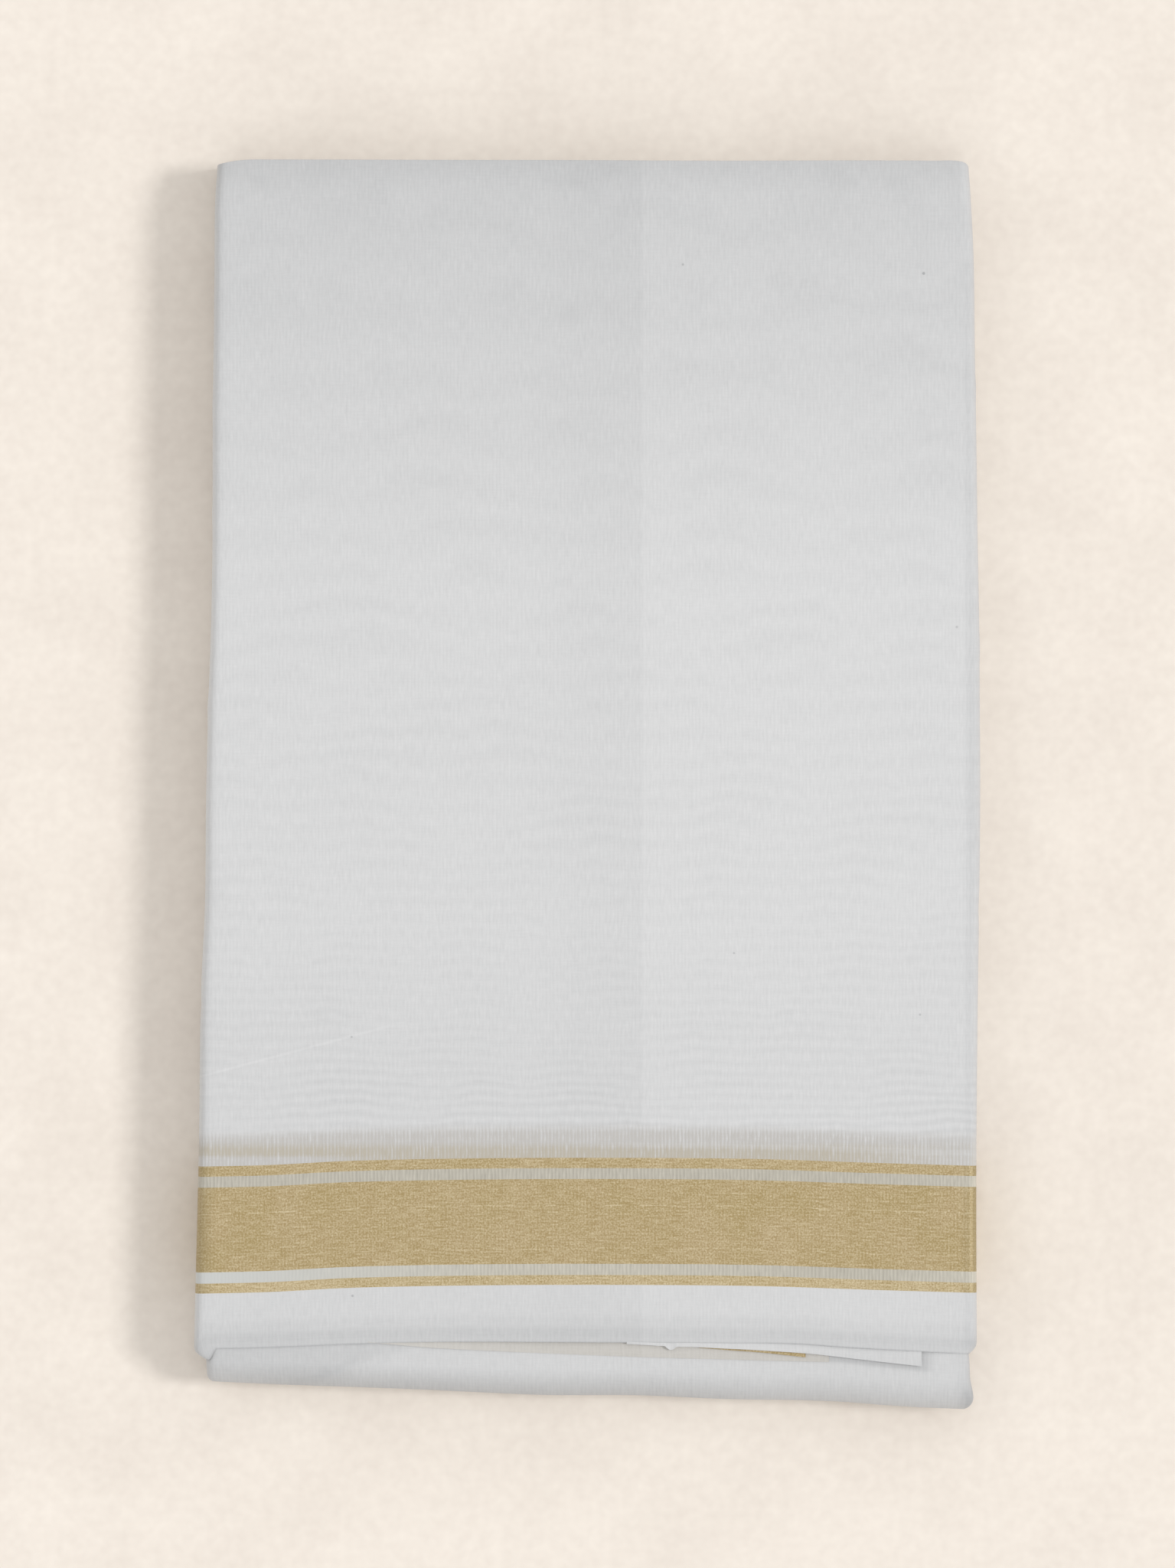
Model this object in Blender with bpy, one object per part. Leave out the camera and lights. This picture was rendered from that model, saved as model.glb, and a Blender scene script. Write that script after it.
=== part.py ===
# A fine white cotton saree with a woven gold border, pressed, folded into a flat pack and laid down.
# The width of the cloth is folded in four, with both selvedges at the border end.
# The length is then halved five times.
# X runs across the pack, Y along it with the border at the -Y end, and Z up from the surface it rests on.

import math
from collections import namedtuple

import bmesh
import bpy
from mathutils import Vector

for old in list(bpy.data.objects):
    bpy.data.objects.remove(old, do_unlink=True)

MM = 0.001

# Driving sizes of the pack, in millimetres as all sizes below
THICKNESS = 18.0
WALL = 1.1
SEAM = 0.3
LAYER_GAP = 0.3
INSET = WALL + LAYER_GAP
TONGUE_INSET = INSET + 0.1

# The folds at the two long sides, seen along the pack
LEFT_FOLD_REACH = 5.0
RIGHT_FOLD_REACH = 3.0
FOLD_SQUARENESS = 2.4
UPPER_FOLD_SHARE = 0.5
LOWER_FOLD_SHARE = 0.25
LEAST_LOWER_HALF = 1.35
UPPER_CURL_DEGREES = 55.0
LOWER_CURL_DEGREES = 60.0

# The edges of the shorter folds between the two, as shares of the height there, and how deep they are notched
HIDDEN_FOLD_SHARES = (0.5, 0.25, 0.25)
HIDDEN_FOLD_DEGREES = (-80.0, -45.0, 0.0, 45.0, 80.0)
HIDDEN_FOLD_REACH = 2.3
HIDDEN_FOLD_FILL = 0.94

# The far end, where the folded groups of layers lie level and sink a little towards their edge
FAR_END = 154.7
SINK_START = 140.0
SINK_DEPTH = 2.6
FAR_CORNER = 1.8
LEFT_CORNER_SHARE = 0.4
FAR_CORE_CORNER = (1.0, 0.5)

# The near end, where the selvedges stop short and the folds of the inner layers reach past as a rounded nose
SELVEDGE = -140.6
TONGUE_START = -131.0
TONGUE_DROP_START = -141.3
TONGUE_DROP_END = -145.2
NOSE_TOP_START = -144.0
NOSE_BOTTOM_START = -146.2
NOSE_TIP = -151.0
NOSE_TIP_HEIGHT = 6.8
NOSE_CORNER = 3.8
NOSE_WRAP_END = -148.9

# At the left side fold the selvedges of the layers creep towards the near end
SELVEDGE_CREEP = 3.0

# Left and right edge of the outer stretch along the pack
OUTLINE = (
    # y, left, right
    (-145.0, -97.1, 96.2),
    (-137.0, -97.1, 96.3),
    (-74.0, -95.6, 96.4),
    (-40.0, -95.0, 96.9),
    (17.0, -93.7, 97.1),
    (51.0, -92.7, 96.9),
    (108.0, -92.1, 96.0),
    (155.0, -91.4, 94.6),
)

# Left and right edge of the folds that reach past the selvedges, narrower where the outer stretch wraps them
TONGUE_OUTLINE = (
    # y, left, right
    (-151.0, -93.9, 95.6),
    (-147.0, -94.0, 95.0),
    (-144.0, -94.0, 94.5),
    (-141.2, -94.0, 93.4),
    (-131.0, -94.0, 93.4),
)

# How far the tip of the nose lies from NOSE_TIP across the pack
NOSE_EDGE = (
    # x, shift along y
    (-94.0, 3.0),
    (-60.0, 1.8),
    (-20.0, 0.0),
    (20.0, -0.7),
    (60.0, -1.8),
    (80.0, -3.0),
    (96.0, -3.8),
)

# The woven threads bow towards the far end between the two side folds
BOW = (
    # x, shift along y
    (-97.0, 0.0),
    (-78.0, 0.5),
    (-60.0, 1.5),
    (-45.0, 2.0),
    (-25.0, 2.3),
    (10.0, 2.3),
    (45.0, 1.9),
    (70.0, 1.0),
    (97.0, 0.0),
)
BOW_FADE_END = -20.0
SELVEDGE_BOW = 0.9

# What is woven below the plain field, from the field to the selvedge
FIELD_END = -94.9
WOVEN_PARTS = (
    # name, width along the pack, kind
    ("border_line_upper", 3.0, "gold"),
    ("border_gap_upper", 2.2, "sheer"),
    ("border_band", 21.4, "gold"),
    ("border_gap_lower", 2.3, "sheer"),
    ("border_line_lower", 2.7, "gold"),
    ("selvedge_margin", 14.1, "plain"),
)
MARGIN_START = SELVEDGE + WOVEN_PARTS[-1][1]

# Where the stretches are divided along the pack
FIELD_ROWS = (-60.0, -20.0, 17.0, 51.0, 80.0, 108.0, 130.0, 140.0, 144.0, 148.0, 151.5, 153.4)
TONGUE_ROWS = (-137.0, -141.2, -142.1, -143.0, -144.0, -145.2, -146.2, -147.1, -148.0, NOSE_WRAP_END)
CORE_STEP_END = TONGUE_START + 1.0
CORE_MIDDLE_ROW = -112.0

# How finely the folds and the flats are divided across the pack, and the hidden layers in height
LEFT_STEPS = 9
ACROSS_STEPS = 10
RIGHT_STEPS = 8
LOWER_STEPS = 6
CORE_ACROSS = 8
RIDGES = 28
LEVELS = 2 * RIDGES
RIDGE_DEPTH = 0.55
NOSE_RIDGE = (0.9, 0.4, 0.1, 0.4)
NOSE_CLEARANCE = (7.0, 5.0)
NOSE_CORNER_INSET = 0.6

# What shows of the second layer below the outer selvedge
FLAP_WALL = 1.0
FLAP_SEAM = 0.4
FLAP_EDGE = (
    # x, y of the edge that shows
    (32.0, -139.7),
    (44.5, -140.7),
    (54.8, -141.7),
    (71.2, -143.4),
    (82.5, -144.4),
    (83.8, -144.1),
)
BORDER_GLIMPSE = (
    # x, upper y, lower y
    (38.2, -140.6, -141.0),
    (44.5, -141.0, -141.7),
    (54.2, -142.0, -142.7),
)
INNER_EDGE = (
    # x, y of the edge that shows
    (-43.0, -139.5),
    (-24.0, -140.7),
    (6.0, -142.0),
    (27.0, -142.5),
)

COLOURS = {
    # kind: red, green, blue, roughness, metallic
    "plain": (0.66, 0.67, 0.68, 0.85, 0.0),
    "sheer": (0.53, 0.51, 0.47, 0.85, 0.0),
    "gold": (0.50, 0.39, 0.22, 0.5, 0.35),
    "inner": (0.60, 0.61, 0.62, 0.9, 0.0),
    "cream": (0.50, 0.49, 0.44, 0.85, 0.0),
}

# How rounded corners end, how far apart slopes are measured, and where shading breaks
CORNER_SHARE = 0.97
SLOPE_STEP = 0.02
SHARP_DEGREES = 35.0

Layer = namedtuple("Layer", "section shift inset")


def read_table(table, key, column=1):
    """Reads one column of a short table at key, straight between its rows."""
    if key <= table[0][0]:
        return table[0][column]
    for first, second in zip(table, table[1:]):
        if key <= second[0]:
            share = (key - first[0]) / (second[0] - first[0])
            return first[column] + share * (second[column] - first[column])
    return table[-1][column]


def ramp(value, start, stop):
    """0 at start, 1 at stop, with soft ends."""
    share = min(1.0, max(0.0, (value - start) / (stop - start)))
    return share * share * (3.0 - 2.0 * share)


def quarter_drop(along, reach):
    """How far a quarter of an ellipse has fallen, as a share of its height, at along of its reach."""
    share = min(0.999, max(0.0, along / reach))
    return 1.0 - math.sqrt(1.0 - share * share)


def corner_inset(along, radius):
    """How far a rounded corner lies inside its square one, at along into the corner."""
    return radius * quarter_drop(along, radius / CORNER_SHARE)


def outer_section(y):
    """Left, right, bottom and top of the outer stretch at y."""
    corner = corner_inset(y - (FAR_END - FAR_CORNER), FAR_CORNER)
    sink = SINK_DEPTH * (max(0.0, y - SINK_START) / (FAR_END - SINK_START)) ** 2
    left = read_table(OUTLINE, y, 1) + LEFT_CORNER_SHARE * corner
    right = read_table(OUTLINE, y, 2) - corner
    return left, right, 0.0, THICKNESS - sink


def tongue_section(y):
    """Left, right, bottom and top of the folds that reach past the selvedges."""
    corner = corner_inset(NOSE_TIP + NOSE_CORNER - y, NOSE_CORNER)
    left = read_table(TONGUE_OUTLINE, y, 1) + corner
    right = read_table(TONGUE_OUTLINE, y, 2) - corner
    under = INSET * (1.0 - ramp(y, TONGUE_DROP_START, TONGUE_DROP_END))
    under += NOSE_TIP_HEIGHT * quarter_drop(NOSE_BOTTOM_START - y, NOSE_BOTTOM_START - NOSE_TIP)
    top = THICKNESS - INSET
    top -= (top - NOSE_TIP_HEIGHT) * quarter_drop(NOSE_TOP_START - y, NOSE_TOP_START - NOSE_TIP)
    return left, right, under, top


def outer_shift(x, y):
    """How far a thread of the outer stretch lies from its nominal y."""
    bow = read_table(BOW, x) * (1.0 - ramp(y, FIELD_END, BOW_FADE_END))
    return bow * (1.0 - (1.0 - SELVEDGE_BOW) * ramp(y, MARGIN_START, SELVEDGE))


def tongue_shift(x, y):
    """The same for the folds that reach past the selvedges."""
    return read_table(NOSE_EDGE, x) * ramp(y, TONGUE_START, NOSE_TIP)


OUTER = Layer(outer_section, outer_shift, INSET)
TONGUE = Layer(tongue_section, tongue_shift, TONGUE_INSET)


def lower_half(height):
    """Half the height of the lower fold at the right of a pack of this height."""
    return max(height * LOWER_FOLD_SHARE / 2, LEAST_LOWER_HALF)


def fold_point(side, edge, centre, reach, half, degrees):
    """A point on a side fold: side is -1 or 1, and degrees run from -90 below to 90 above."""
    angle = math.radians(degrees)
    power = 2.0 / FOLD_SQUARENESS
    across = edge - side * reach * (1.0 - abs(math.cos(angle)) ** power)
    return across, centre + half * math.copysign(abs(math.sin(angle)) ** power, angle)


def front_point(layer, u, y):
    """A point on a stretch that wraps the left side, the top and the upper fold at the right.

    u is 0 to 1 round the left side, 1 to 2 over the top and 2 to 3 round the upper fold.
    """
    left, right, under, top = layer.section(y)
    height = top - under
    creep = 0.0
    if u <= 1.0:
        degrees = -90.0 + 180.0 * u
        x, z = fold_point(-1, left, under + height / 2, LEFT_FOLD_REACH, height / 2, degrees)
        if layer is OUTER:
            turned = math.sqrt(abs(math.cos(math.radians(degrees))))
            creep = SELVEDGE_CREEP * turned * ramp(y, MARGIN_START, SELVEDGE)
    elif u <= 2.0:
        start, stop = left + LEFT_FOLD_REACH, right - RIGHT_FOLD_REACH
        x, z = start + (u - 1.0) * (stop - start), top
    else:
        half = height * UPPER_FOLD_SHARE / 2
        degrees = 90.0 - (90.0 + UPPER_CURL_DEGREES) * (u - 2.0)
        x, z = fold_point(1, right, top - half, RIGHT_FOLD_REACH, half, degrees)
    return Vector((x, y + layer.shift(x, y) - creep, z))


def back_point(layer, u, y):
    """A point on a stretch under the pack, u from 0 to 1, which turns up at the right, u from 1 to 2."""
    left, right, under, top = layer.section(y)
    half = lower_half(top - under)
    if u <= 1.0:
        start, stop = left + LEFT_FOLD_REACH + SEAM, right - half
        x, z = start + u * (stop - start), under
    else:
        degrees = -90.0 + (90.0 + LOWER_CURL_DEGREES) * (u - 1.0)
        x, z = fold_point(1, right, under + half, half, half, degrees)
    return Vector((x, y + layer.shift(x, y), z))


def inside(point, layer, u, y, depth):
    """The point at u and y, moved in from the outer surface by depth."""
    end = 3.0 if point is front_point else 2.0
    around = point(layer, min(u + SLOPE_STEP, end), y) - point(layer, max(u - SLOPE_STEP, 0.0), y)
    along = point(layer, u, y + SLOPE_STEP) - point(layer, u, y - SLOPE_STEP)
    normal = around.cross(along).normalized()
    inward = -normal if point is front_point else normal
    return point(layer, u, y) + inward * depth


def front_us():
    """Where a front stretch is divided, from its seam under the left side to its end in the right fold."""
    us = [step / LEFT_STEPS for step in range(LEFT_STEPS)]
    us += [1.0 + step / ACROSS_STEPS for step in range(ACROSS_STEPS)]
    us += [2.0 + step / RIGHT_STEPS for step in range(RIGHT_STEPS + 1)]
    return us


def back_us():
    """Where a back stretch is divided, from its seam at the left to its end in the lower fold."""
    us = [step / ACROSS_STEPS for step in range(ACROSS_STEPS)]
    us += [1.0 + step / LOWER_STEPS for step in range(LOWER_STEPS + 1)]
    return us


def cloth_material(name, kind):
    """A matt cotton or a duller metallic thread, in the colour of its kind."""
    red, green, blue, roughness, metallic = COLOURS[kind]
    material = bpy.data.materials.new(name)
    material.use_nodes = True
    shader = material.node_tree.nodes["Principled BSDF"]
    shader.inputs["Base Color"].default_value = (red, green, blue, 1.0)
    shader.inputs["Roughness"].default_value = roughness
    shader.inputs["Metallic"].default_value = metallic
    material.diffuse_color = (red, green, blue, 1.0)
    return material


def add_solid(name, points, faces, kind):
    """One closed solid from points in millimetres, with its faces turned out."""
    mesh = bpy.data.meshes.new(name)
    mesh.from_pydata([tuple(place * MM) for place in points], [], faces)
    work = bmesh.new()
    work.from_mesh(mesh)
    bmesh.ops.recalc_face_normals(work, faces=work.faces)
    if work.calc_volume(signed=True) < 0.0:
        bmesh.ops.reverse_faces(work, faces=work.faces)
    work.to_mesh(mesh)
    work.free()
    mesh.shade_smooth()
    mesh.set_sharp_from_angle(angle=math.radians(SHARP_DEGREES))
    mesh.materials.append(cloth_material(name, kind))
    solid = bpy.data.objects.new(name, mesh)
    bpy.context.scene.collection.objects.link(solid)
    return solid


def grid_rim(rows, columns):
    """The outermost places of a grid as row and column, in order round it."""
    rim = [(0, column) for column in range(columns - 1)]
    rim += [(row, columns - 1) for row in range(rows - 1)]
    rim += [(rows - 1, column) for column in range(columns - 1, 0, -1)]
    rim += [(row, 0) for row in range(rows - 1, 0, -1)]
    return rim


def add_sheet(name, outer, inner, kind):
    """A wall between two grids of points, closed along its four edges."""
    rows, columns = len(outer), len(outer[0])
    points = [place for grid in (outer, inner) for row in grid for place in row]
    under = rows * columns
    faces = []
    for row in range(rows - 1):
        for column in range(columns - 1):
            a = row * columns + column
            b, c, d = a + 1, a + columns + 1, a + columns
            faces.append((a, b, c, d))
            faces.append((under + d, under + c, under + b, under + a))
    rim = [row * columns + column for row, column in grid_rim(rows, columns)]
    for first, second in zip(rim, rim[1:] + rim[:1]):
        faces.append((second, first, under + first, under + second))
    return add_solid(name, points, faces, kind)


def add_stretch(name, point, layer, rows, kind):
    """A stretch of cloth as a wall of even thickness, divided along the pack at rows."""
    us = front_us() if point is front_point else back_us()
    outer = [[point(layer, u, y) for u in us] for y in rows]
    inner = [[inside(point, layer, u, y, WALL) for u in us] for y in rows]
    return add_sheet(name, outer, inner, kind)


def woven_rows():
    """The rows of each woven part below the field, parted by a seam."""
    start = FIELD_END
    for name, width, kind in WOVEN_PARTS:
        stop = start - width
        middle = [start - width / 2] if width > 10.0 else []
        last = SELVEDGE if name == "selvedge_margin" else stop + SEAM / 2
        yield name, [start - SEAM / 2, *middle, last], kind
        start = stop


def add_outer_stretches():
    """The outer cloth, over the pack and under it, in its woven parts."""
    field = [FIELD_END + SEAM / 2, *FIELD_ROWS, FAR_END]
    for side, point in (("front", front_point), ("back", back_point)):
        add_stretch(f"{side}_field", point, OUTER, field, "plain")
        for name, rows, kind in woven_rows():
            add_stretch(f"{side}_{name}", point, OUTER, rows, kind)


def add_tongues():
    """The folds of the inner layers that reach past the selvedges, above and below."""
    for side, point in (("front", front_point), ("back", back_point)):
        add_stretch(f"under_fold_{side}", point, TONGUE, [TONGUE_START, *TONGUE_ROWS], "plain")


def add_plate(name, edges, kind):
    """A flat piece of the second layer on the under fold, between its upper and lower edge."""
    low = THICKNESS - INSET + LAYER_GAP
    grids = []
    for z in (low + FLAP_WALL, low):
        above = [Vector((x, upper, z)) for x, upper, lower in edges]
        below = [Vector((x, lower, z)) for x, upper, lower in edges]
        grids.append([above, below])
    return add_sheet(name, *grids, kind)


def below_selvedge(x):
    """The y just clear of the outer selvedge at x."""
    return SELVEDGE + outer_shift(x, SELVEDGE) - FLAP_SEAM


def add_second_layer():
    """The bits of the second layer that peek out below the outer selvedge."""
    flap = [(x, below_selvedge(x), lower) for x, lower in FLAP_EDGE]
    add_plate("inner_selvedge_flap", flap, "plain")
    add_plate("inner_border_glimpse", BORDER_GLIMPSE, "gold")
    inner = [(x, below_selvedge(x), lower) for x, lower in INNER_EDGE]
    add_plate("inner_layer_edge", inner, "cream")


def fill_to_count(profile, count):
    """Adds points in the middle of a profile's longest spans until it has count of them."""
    profile = list(profile)
    while len(profile) < count:
        spans = [(second - first).length for first, second in zip(profile, profile[1:])]
        longest = spans.index(max(spans))
        profile.insert(longest + 1, profile[longest].lerp(profile[longest + 1], 0.5))
    return profile


def hidden_folds(right, low, high):
    """The edges of the shorter folds at the right between low and high, as points of x and z."""
    profile = []
    start = low
    for share in HIDDEN_FOLD_SHARES:
        half = (high - low) * share / 2
        for degrees in HIDDEN_FOLD_DEGREES:
            place = fold_point(1, right, start + half, HIDDEN_FOLD_REACH, half * HIDDEN_FOLD_FILL, degrees)
            profile.append(place)
        start += 2 * half
    return profile


def core_right(layer, y):
    """The right side of the hidden layers at y, from below to above, clear of the folds that wrap them."""
    left, right, under, top = layer.section(y)
    pocket = right - RIGHT_FOLD_REACH - LAYER_GAP
    lower = under + 2 * lower_half(top - under)
    upper = under + (top - under) * UPPER_FOLD_SHARE
    places = [(pocket, lower + LAYER_GAP)]
    places += hidden_folds(right - LAYER_GAP, lower + LAYER_GAP, upper - LAYER_GAP)
    places += [(pocket, upper - LAYER_GAP), (pocket, upper + layer.inset)]
    foot = inside(back_point, layer, 1.0, y, layer.inset)
    foot.x = pocket
    profile = [foot] + [Vector((x, y + layer.shift(x, y), z)) for x, z in places]
    for step in range(RIGHT_STEPS - 1, -1, -1):
        place = inside(front_point, layer, 2.0 + step / RIGHT_STEPS, y, layer.inset)
        if place.z > profile[-1].z:
            profile.append(place)
    return fill_to_count(profile, LEVELS + 1)


def core_left(layer, y):
    """The left side of the hidden layers at y, from below to above, in line with the wall that wraps it."""
    knots = [inside(front_point, layer, step / LEFT_STEPS, y, layer.inset) for step in range(LEFT_STEPS + 1)]
    places = []
    for level in range(LEVELS + 1):
        along = level / LEVELS * LEFT_STEPS
        knot = min(int(along), LEFT_STEPS - 1)
        places.append(knots[knot].lerp(knots[knot + 1], along - knot))
    return places


def core_rows(layer, y):
    """The hidden layers across the pack at y: for each level a row from the left side to the right."""
    rows = []
    for first, last in zip(core_left(layer, y), core_right(layer, y)):
        first_shift, last_shift = layer.shift(first.x, y), layer.shift(last.x, y)
        row = []
        for step in range(CORE_ACROSS + 1):
            share = step / CORE_ACROSS
            place = first.lerp(last, share)
            place.y += layer.shift(place.x, y) - first_shift * (1 - share) - last_shift * share
            row.append(place)
        rows.append(row)
    return rows


def far_rows():
    """The folded edges at the far end, a ridge for each group of layers."""
    rows = core_rows(OUTER, FAR_END)
    across, along = FAR_CORE_CORNER
    for level, row in enumerate(rows):
        for place in row:
            place.y -= SEAM + (0.0 if level % 2 else RIDGE_DEPTH)
        row[0] += Vector((across, -along, 0.0))
        row[-1] += Vector((-across, -along, 0.0))
    return rows


def nose_point(degrees, depth):
    """The y and z at depth under the nose, from -90 degrees where it rests to 90 at its top."""
    angle = math.radians(degrees)
    if degrees < 0.0:
        reach, half = NOSE_BOTTOM_START - NOSE_TIP, NOSE_TIP_HEIGHT
    else:
        reach, half = NOSE_TOP_START - NOSE_TIP, THICKNESS - INSET - NOSE_TIP_HEIGHT
    across, up = math.cos(angle) / reach, math.sin(angle) / half
    size = math.hypot(across, up)
    y = NOSE_TIP + reach * (1.0 - math.cos(angle)) + depth * across / size
    z = NOSE_TIP_HEIGHT + half * math.sin(angle) - depth * up / size
    return y, z


def nose_degrees(end, start):
    """Where on the nose a stretch ends whose flat part ends at start."""
    return math.degrees(math.acos(1.0 - (end - NOSE_TIP) / (start - NOSE_TIP)))


def nose_rows():
    """The folds at the tip of the nose, a ridge for each pair, between the two stretches that wrap it."""
    low = -nose_degrees(NOSE_WRAP_END, NOSE_BOTTOM_START) + NOSE_CLEARANCE[0]
    high = nose_degrees(NOSE_WRAP_END, NOSE_TOP_START) - NOSE_CLEARANCE[1]
    ends = core_rows(TONGUE, NOSE_WRAP_END)
    start = max(end[0].x for end in ends) + NOSE_CORNER_INSET
    stop = min(end[-1].x for end in ends) - NOSE_CORNER_INSET
    rows = []
    for level, end in enumerate(ends):
        row = []
        for step, place in enumerate(end):
            bottom, top = ends[0][step].z, ends[-1][step].z
            degrees = low + (high - low) * (place.z - bottom) / (top - bottom)
            ridged = 0 < step < CORE_ACROSS
            y, z = nose_point(degrees, NOSE_RIDGE[level % 4] if ridged else min(NOSE_RIDGE))
            x = start + (stop - start) * step / CORE_ACROSS
            row.append(Vector((x, y + tongue_shift(x, NOSE_TIP), z)))
        rows.append(row)
    return rows


def core_grids():
    """The hidden layers from the nose to the far end, as rows at every level."""
    inner = [*reversed(TONGUE_ROWS), TONGUE_START + SEAM]
    outer = [CORE_STEP_END, CORE_MIDDLE_ROW, FIELD_END, *FIELD_ROWS]
    grids = [nose_rows()] + [core_rows(TONGUE, y) for y in inner]
    grids += [core_rows(OUTER, y) for y in outer]
    return grids + [far_rows()]


def add_core():
    """The hidden layers as one rounded solid, ridged where their folded edges show."""
    grids = core_grids()
    rows, columns = len(grids), CORE_ACROSS + 1
    rim = grid_rim(rows, columns)
    index = {}
    points = []
    for level in range(LEVELS + 1):
        whole = level in (0, LEVELS)
        wanted = [(row, column) for row in range(rows) for column in range(columns)] if whole else rim
        for row, column in wanted:
            index[level, row, column] = len(points)
            points.append(grids[row][level][column])
    faces = []
    for level in range(LEVELS):
        for first, second in zip(rim, rim[1:] + rim[:1]):
            below = [index[level, *first], index[level, *second]]
            above = [index[level + 1, *second], index[level + 1, *first]]
            faces.append((*below, *above))
    for level in (0, LEVELS):
        for row in range(rows - 1):
            for column in range(columns - 1):
                corners = ((row, column), (row, column + 1), (row + 1, column + 1), (row + 1, column))
                faces.append(tuple(index[level, *corner] for corner in corners))
    return add_solid("folded_core", points, faces, "inner")


add_outer_stretches()
add_tongues()
add_second_layer()
add_core()
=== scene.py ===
# %% [markdown]
# # A pressed white cotton saree with a gold border
#
# A saree is one long, uncut cloth. This one is fine white cotton with a woven metallic border, pressed and
# folded into a flat pack: its width of 1.2 m in four, then its length of about 6 m in half five times. That
# makes 128 layers, 18 mm high. Only the outermost ones show, so the scene makes those as thin shells, one
# piece for each woven part, and the folded edges of the rest where the pack is open.

# %% Load the frame
import math

import bpy
import numpy as np
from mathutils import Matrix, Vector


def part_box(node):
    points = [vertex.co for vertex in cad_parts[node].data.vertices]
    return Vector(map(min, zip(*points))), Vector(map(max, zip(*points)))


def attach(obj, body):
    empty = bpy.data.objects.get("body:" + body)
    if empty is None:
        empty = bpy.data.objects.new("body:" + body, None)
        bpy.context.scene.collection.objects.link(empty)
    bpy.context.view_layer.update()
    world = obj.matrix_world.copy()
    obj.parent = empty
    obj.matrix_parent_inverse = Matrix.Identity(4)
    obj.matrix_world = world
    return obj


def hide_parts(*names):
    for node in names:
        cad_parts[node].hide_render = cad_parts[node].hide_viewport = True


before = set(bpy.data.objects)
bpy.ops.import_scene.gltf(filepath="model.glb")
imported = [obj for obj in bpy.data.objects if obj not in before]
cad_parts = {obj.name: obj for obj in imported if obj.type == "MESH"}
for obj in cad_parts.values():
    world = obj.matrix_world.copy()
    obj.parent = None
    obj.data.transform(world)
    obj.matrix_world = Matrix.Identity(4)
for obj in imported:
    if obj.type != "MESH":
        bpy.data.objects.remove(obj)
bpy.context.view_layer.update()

# %% [markdown]
# ## Sizes
#
# Cloth is measured in millimetres, so the scene is worked out in them and turned to metres for each mesh.
# The height and length of the pack are read from the frame, which keeps the cloth on its solids.

# %% Read the main sizes from the frame
MM = 0.001
far_corner = np.array(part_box("front_field")[1]) / MM
FAR_END, THICKNESS = far_corner[1], far_corner[2]
GROUPS = 32
PITCH = THICKNESS / GROUPS
CLOTH = 0.2
print(f"The pack is {THICKNESS:.1f} mm high, {GROUPS} groups of layers at {PITCH:.2f} mm")

# %% [markdown]
# A pressed fold bends gently and never has a kink. So each line along the pack is a table of a few rows,
# read as a smooth curve: a cubic between each two rows, with one slope where two cubics meet.

# %% Smooth curves through short tables


def smooth_table(table, key, column=1):
    """Reads one column of a table at each key, as a smooth curve through its rows."""
    rows = np.array(table, float)
    at, value = rows[:, 0], rows[:, column]
    slope = np.gradient(value, at)
    key = np.clip(key, at[0], at[-1])
    first = np.clip(np.searchsorted(at, key, side="right") - 1, 0, len(at) - 2)
    width = at[first + 1] - at[first]
    share = (key - at[first]) / width
    rest = 1 - share
    start = rest * rest * ((1 + 2 * share) * value[first] + share * width * slope[first])
    stop = share * share * ((1 + 2 * rest) * value[first + 1] - rest * width * slope[first + 1])
    return start + stop


def ramp(value, start, stop):
    """0 at start and 1 at stop, with soft ends."""
    share = np.clip((value - start) / (stop - start), 0, 1)
    return share * share * (3 - 2 * share)


print("A ramp is at", ramp(0.25, 0, 1), "after a quarter of its way")

# %% [markdown]
# The camera looks straight down, so the outline is what the eye measures first. The pack is a little wider
# towards the border, and its selvedge runs in a shallow curve over the fold below.

# %% The outline of the pack, seen from above
OUTLINE = (
    # y, left edge, right edge
    (-137, -97.2, 96.7), (-110, -96.5, 96.7), (-86, -95.9, 96.7), (-51, -95.3, 97.0), (-29, -94.4, 97.3),
    (-6, -94.2, 97.5), (17, -93.7, 97.5), (40, -93.0, 97.4), (63, -92.6, 97.0), (85, -92.5, 96.7),
    (108, -92.3, 96.3), (131, -92.1, 95.9), (143, -92.0, 95.3), (155, -91.4, 94.7),
)
SELVEDGE = -140.6
SELVEDGE_EDGE = (
    # x, shift along y of the selvedge
    (-97, 1.2), (-88, 1.2), (-73, 1.65), (-60, 2.2), (-39, 2.75), (-1, 2.7), (33, 2.5), (54, 2.25), (63, 1.6),
    (82, 0.5), (96, -0.3),
)
print(f"The outline is {OUTLINE[0][2] - OUTLINE[0][1]:.1f} mm wide at the border")

# %% [markdown]
# ## The form of the folded pack
#
# Every fold at a long side is a soft U of cloth. A superellipse draws it well: squarer than a circle, as
# pressing flattens it, and one formula with three sizes. At the left one tall fold holds all the layers. At
# the right the upper half of the pack is one fold, and shorter ones lie below it.

# %% The U of a side fold
SQUARENESS = {-1: 4.8, 1: 3.0}
LEFT_REACH = 4.6
RIGHT_REACH = 3.0


def side_fold(side, edge, centre, half, reach, degrees):
    """Points x and z round a fold, from -90 degrees below to 90 above. side is -1 left and 1 right."""
    angle = np.radians(degrees)
    power = 2 / SQUARENESS[side]
    x = edge - side * reach * (1 - np.abs(np.cos(angle)) ** power)
    z = centre + half * np.sign(np.sin(angle)) * np.abs(np.sin(angle)) ** power
    return x, z


print(f"At 45 degrees the left fold is {side_fold(-1, 0, 0, 1, LEFT_REACH, 45)[0]:.2f} mm in")

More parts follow.
